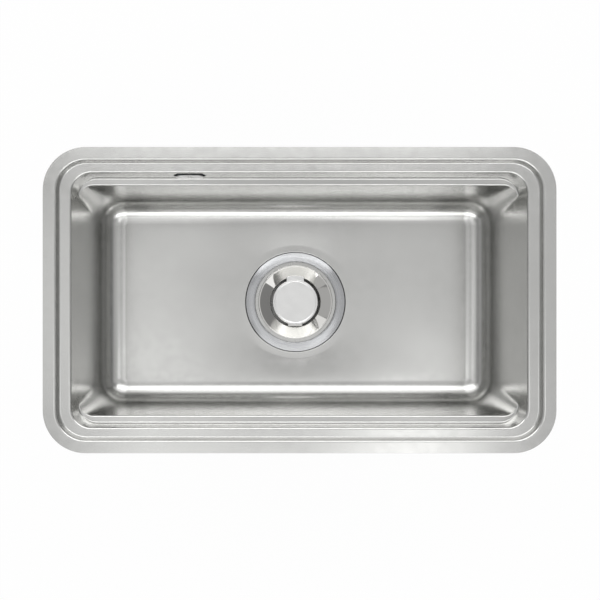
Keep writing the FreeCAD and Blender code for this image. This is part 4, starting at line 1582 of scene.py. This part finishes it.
    def tail(self) -> None:
        """Build the tail pipe with its flange and collar."""
        foot, top = span("tail_pipe")
        flange = self.spigot_radius - 0.5
        under = top - self.tail_flange
        collar = self.tail_radius + 1.0
        collar_foot = foot + self.tail_plain
        made = turned(
            "tail_tube",
            (
                (self.tail_bore, top, 0.3),
                (flange, top, 0.3),
                (flange, under, 0.5),
                (collar, under, 0.5),
                (collar, collar_foot, 0.5),
                (self.tail_radius, collar_foot, 0.5),
                (self.tail_radius, foot, 0.5),
                (self.tail_bore, foot, 0.3),
            ),
            steps=96,
        )
        stand_in(made, Body.SINK, Slot.TRAP_PLASTIC, TRAP_PLASTIC, "tail_pipe")

    def build(self) -> None:
        """Build every piece of the trap and dress its gaskets."""
        bore = self.neck + self.thread_fit
        self.nut("lock_ring", "lock_nut", bore, bore, self.neck + self.lock_rim, 0.0)
        lip_bore, outer = self.pot_radius + 0.5, self.neck + self.coupling_wall
        self.nut("coupling_ring", "coupling_nut", bore, lip_bore, outer, self.coupling_lip)
        bore = self.spigot_radius + self.thread_fit
        lip_bore, outer = self.tail_radius + 1.5, self.spigot_radius + self.outlet_wall
        self.nut("outlet_ring", "outlet_nut", bore, lip_bore, outer, self.outlet_lip)
        self.body()
        self.bell()
        self.tail()
        gaskets = [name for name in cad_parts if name.endswith(("_gasket", "_washer"))]
        carry_over(GASKET_RUBBER, *gaskets)


@dataclass(frozen=True)
class Clips:
    """Eight swivel clips on weld studs under the rim, with their washers and nuts."""

    length: float = 62.0
    width: float = 13.0
    thickness: float = 2.5
    easing: float = 0.35
    pivot_hole: float = 2.6
    fixing_hole: float = 2.3
    hole_spacing: float = 16.0
    stud_radius: float = 2.5
    stud_pitch: float = 0.8
    thread_depth: float = 0.3
    washer_radius: float = 5.5
    nut_flats: float = 8.0

    def placing(self, body: Body) -> Matrix:
        """Return the place of a clip's stud, turned so that local X runs along the stowed arm."""
        low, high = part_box(body.value)
        middle = (low + high) / 2.0
        if high.x - low.x > high.y - low.y:
            turn = 0.0 if low.y < 0.0 else math.pi
        else:
            turn = math.copysign(math.pi / 2.0, middle.x)
        arm = Vector((math.cos(turn), math.sin(turn), 0.0)) * (self.length - self.width) / 2.0 * MM
        stud = Matrix.Translation((middle.x - arm.x, middle.y - arm.y, 0.0))
        return stud @ Matrix.Rotation(turn, 4, "Z")

    def arm(self, body: Body) -> None:
        """Build one arm, drawn from its stud at the origin, over the frame's own."""
        foot, top = span(body.value)
        reach = self.length - self.width
        rows = []
        for inset, height in (
            (self.easing, foot),
            (0.0, foot + self.easing),
            (0.0, top - self.easing),
            (self.easing, top),
        ):
            outline = slot_outline(self.length - 2.0 * inset, self.width - 2.0 * inset)
            rows.append((shifted(outline, reach / 2.0), height))
        made = lofted("arm_of_" + body.value, rows)
        for x, radius in (
            (0.0, self.pivot_hole),
            (reach, self.fixing_hole),
            (reach - self.hole_spacing, self.fixing_hole),
        ):
            drill = prism("drill", shifted(ring_outline(radius), x), foot - 1.0, top + 1.0)
            cut(made, drill)
        shade(placed(made, self.placing(body)))
        stand_in(made, body, Slot.CLIP_STEEL, CLIP_ZINC, body.value)

    def stud(self) -> Piece:
        """Build one threaded weld stud about the origin."""
        foot, top = span("clip_studs")
        thread = threaded(self.stud_radius, foot + 0.6, top - 0.6, self.stud_pitch, self.thread_depth)
        corners = [(0.0, foot, 0.0), (self.stud_radius - 0.6, foot, 0.0), *thread]
        corners += [(self.stud_radius, top, 0.0), (0.0, top, 0.0)]
        return turned("stud", corners, closed=False, steps=32)

    def washer(self) -> Piece:
        """Build one washer about the origin."""
        foot, top = span("clip_washers")
        inner, outer = self.pivot_hole, self.washer_radius
        places = ((inner, foot), (outer, foot), (outer, top), (inner, top))
        return turned("washer", [(*place, 0.15) for place in places], steps=48)

    def nut(self) -> Piece:
        """Build one hexagon nut about the origin, its corners chamfered."""
        foot, top = span("clip_nuts")
        rows = []
        for inset, height in ((0.5, foot), (0.0, foot + 0.4), (0.0, top - 0.4), (0.5, top)):
            radius = self.nut_flats / math.sqrt(3.0) - inset
            rows.append((ring_outline(radius, 6), height))
        return lofted("nut", rows)

    def set_of(self, name: str, node: str, make: Callable[[], Piece]) -> None:
        """Build one fastener at every clip and gather them.

        Args:
            name: Name of the gathered set.
            node: Node of the frame that the set stands for.
            make: Builds one fastener about the origin.
        """
        copies = [placed(make(), self.placing(body)) for body in CLIP_BODIES]
        stand_in(joined(name, *copies), Body.SINK, Slot.FASTENER_STEEL, ZINC, node)

    def build(self) -> None:
        """Build the arms and the three sets of fasteners."""
        for body in CLIP_BODIES:
            self.arm(body)
        self.set_of("weld_studs", "clip_studs", self.stud)
        self.set_of("flat_washers", "clip_washers", self.washer)
        self.set_of("hexagon_nuts", "clip_nuts", self.nut)


CLIP_BODIES = [body for body in Body if body.value.startswith("clip_")]


class Way(Enum):
    """Ways from the sink's middle to the studio's lamps, as turns from +X in degrees."""

    RIGHT = 0.0
    BACK = 90.0
    BACK_LEFT = 135.0
    LEFT = 180.0
    FRONT_LEFT = 225.0
    FRONT = 270.0
    FRONT_RIGHT = 315.0


@dataclass(frozen=True)
class Softbox:
    """A long rectangular lamp on a dome round the sink, which faces the dome's middle."""

    name: str
    way: Way
    lean: float
    spread: float
    length: float
    radiance: float
    distance: float = 2.0

    def build(self) -> None:
        """Hang the lamp, its lean and spread in degrees from the upright, unseen by the camera."""
        light = bpy.data.lights.new(self.name, "AREA")
        light.shape = "RECTANGLE"
        light.size = self.length
        light.size_y = 2.0 * self.distance * math.tan(math.radians(self.spread / 2.0))
        light.energy = self.radiance * math.pi * light.size * light.size_y
        lamp = bpy.data.objects.new(self.name, light)
        around = Matrix.Rotation(math.radians(self.way.value - 90.0), 4, "Z")
        aside = Matrix.Rotation(math.radians(-self.lean), 4, "X")
        lamp.matrix_world = around @ aside @ Matrix.Translation((0.0, 0.0, self.distance))
        lamp.visible_camera = False
        bpy.context.scene.collection.objects.link(lamp)


@dataclass
class Studio:
    """Plain pale floor, soft white light and the camera that looks straight down into the bowl."""

    camera_place: tuple[float, float, float] = (-0.0373, -0.0175, 1.010)
    focal_pixels: float = 665.6
    axis_left_pixels: float = 25.0
    axis_down_pixels: float = 11.6
    sensor_mm: float = 36.0
    floor_gap: float = 0.0004
    floor_half: float = 20.0
    floor_glow: float = 0.96
    overhead: float = 0.54
    dome_foot: float = 0.3
    dome_low: float = 0.16
    horizon: float = 0.86
    horizon_top: float = 0.12
    backdrop_top: float = 0.26
    zenith_share: float = 1.4
    zenith_inner: float = 4.0
    zenith_outer: float = 7.5
    softboxes: tuple[Softbox, ...] = (
        Softbox("back_top_softbox", Way.BACK, 27.0, 10.0, 2.0, 1.5),
        Softbox("back_high_softbox", Way.BACK, 38.5, 15.0, 2.4, 2.9),
        Softbox("back_softbox", Way.BACK, 50.0, 12.0, 2.6, 1.0),
        Softbox("back_wide_softbox", Way.BACK, 63.0, 14.0, 4.6, 1.1),
        Softbox("back_low_softbox", Way.BACK, 77.0, 14.0, 3.0, 0.9),
        Softbox("front_top_softbox", Way.FRONT, 12.5, 18.0, 1.5, 0.3),
        Softbox("front_high_softbox", Way.FRONT, 27.0, 10.0, 2.0, 1.15),
        Softbox("front_softbox", Way.FRONT, 49.0, 17.0, 2.6, 3.1),
        Softbox("front_low_softbox", Way.FRONT, 77.0, 14.0, 3.0, 0.25),
        Softbox("front_right_softbox", Way.FRONT_RIGHT, 58.0, 16.0, 0.9, 0.95),
        Softbox("front_right_high_fill", Way.FRONT_RIGHT, 24.0, 12.0, 0.6, 0.9),
        Softbox("front_left_softbox", Way.FRONT_LEFT, 58.0, 16.0, 0.9, 0.25),
        Softbox("front_left_high_fill", Way.FRONT_LEFT, 24.0, 12.0, 0.6, 0.25),
        Softbox("back_left_softbox", Way.BACK_LEFT, 58.0, 16.0, 0.9, 0.7),
        Softbox("left_fill", Way.LEFT, 24.0, 27.0, 0.9, 0.38),
        Softbox("left_low_fill", Way.LEFT, 68.0, 20.0, 2.0, 0.22),
        Softbox("right_fill", Way.RIGHT, 33.0, 44.0, 1.1, 0.2),
    )

    def camera(self) -> None:
        """Add the camera at the photograph's place, with its shift."""
        lens = bpy.data.cameras.new("camera")
        lens.sensor_width = self.sensor_mm
        lens.lens = self.focal_pixels / PHOTO_SIZE * self.sensor_mm
        lens.shift_x = self.axis_left_pixels / PHOTO_SIZE
        lens.shift_y = self.axis_down_pixels / PHOTO_SIZE
        lens.clip_start = 0.01
        lens.clip_end = 50.0
        camera = bpy.data.objects.new("camera", lens)
        camera.location = self.camera_place
        bpy.context.scene.collection.objects.link(camera)
        bpy.context.scene.camera = camera

    def floor(self) -> None:
        """Add the pale floor under the tail pipe, near white to the camera and in reflections."""
        level = cad_box[0].z / MM - self.floor_gap / MM
        half = self.floor_half / MM
        floor = prism("floor", rectangle(half, -half, half), level - 10.0, level)
        paper = bpy.data.materials.new("pale_paper_floor")
        paper.use_nodes = True
        tree = paper.node_tree
        tree.nodes.clear()
        matt = add_node(tree, "ShaderNodeBsdfDiffuse", {"Color": linear("#EFEFEF")})
        glow = add_node(tree, "ShaderNodeEmission", {"Color": linear("#FFFFFF"), "Strength": 1.0})
        path = add_node(tree, "ShaderNodeLightPath")
        seen = path.outputs["Is Camera Ray"]
        for ray in ("Is Glossy Ray", "Is Transmission Ray"):
            seen = maths(tree, "MAXIMUM", seen, path.outputs[ray])
        share = maths(tree, "MULTIPLY", seen, self.floor_glow)
        mixed = add_node(
            tree, "ShaderNodeMixShader", {0: share, 1: matt.outputs[0], 2: glow.outputs[0]}
        )
        add_node(tree, "ShaderNodeOutputMaterial", {"Surface": mixed.outputs[0]})
        floor.data.materials.append(paper)

    def world(self) -> None:
        """Set the world: a soft dome, brightest overhead, and a pale backdrop up from the horizon.

        The backdrop is a part of the world's light, so it lights the sink a little as well.
        """
        world = bpy.data.worlds.new("studio")
        bpy.context.scene.world = world
        world.use_nodes = True
        tree = world.node_tree
        tree.nodes.clear()
        way = add_node(tree, "ShaderNodeTexCoord").outputs["Generated"]
        up = add_node(tree, "ShaderNodeSeparateXYZ", {0: way}).outputs["Z"]
        dome = ranged(tree, up, (self.dome_low, self.overhead), (self.dome_foot, 1.0))
        outer, inner = (math.cos(math.radians(lean)) for lean in (self.zenith_outer, self.zenith_inner))
        zenith = ranged(tree, up, (1.0, self.zenith_share), (outer, inner))
        backdrop = ranged(tree, up, (self.horizon, 0.0), (self.horizon_top, self.backdrop_top))
        strength = maths(tree, "ADD", maths(tree, "MULTIPLY", dome, zenith), backdrop)
        white = {"Color": linear("#FFFFFF"), "Strength": strength}
        soft = add_node(tree, "ShaderNodeBackground", white)
        add_node(tree, "ShaderNodeOutputWorld", {"Surface": soft.outputs[0]})

    def build(self) -> None:
        """Build the whole studio."""
        self.camera()
        self.floor()
        self.world()
        for box in self.softboxes:
            box.build()
        view = bpy.context.scene.view_settings
        view.view_transform = "Standard"
        LOG.info("studio built")


def main() -> None:
    """Build and dress every sub-assembly, then the studio."""
    logging.basicConfig(level=logging.INFO, format="%(name)s: %(message)s")
    PressedBowl().build()
    Strainer().build()
    Overflow().build()
    Trap().build()
    Clips().build()
    pads = [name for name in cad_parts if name.startswith("pad_")]
    carry_over(BITUMEN, *pads, easing_mm=0.8)
    Studio().build()


if __name__ == "__main__":
    main()
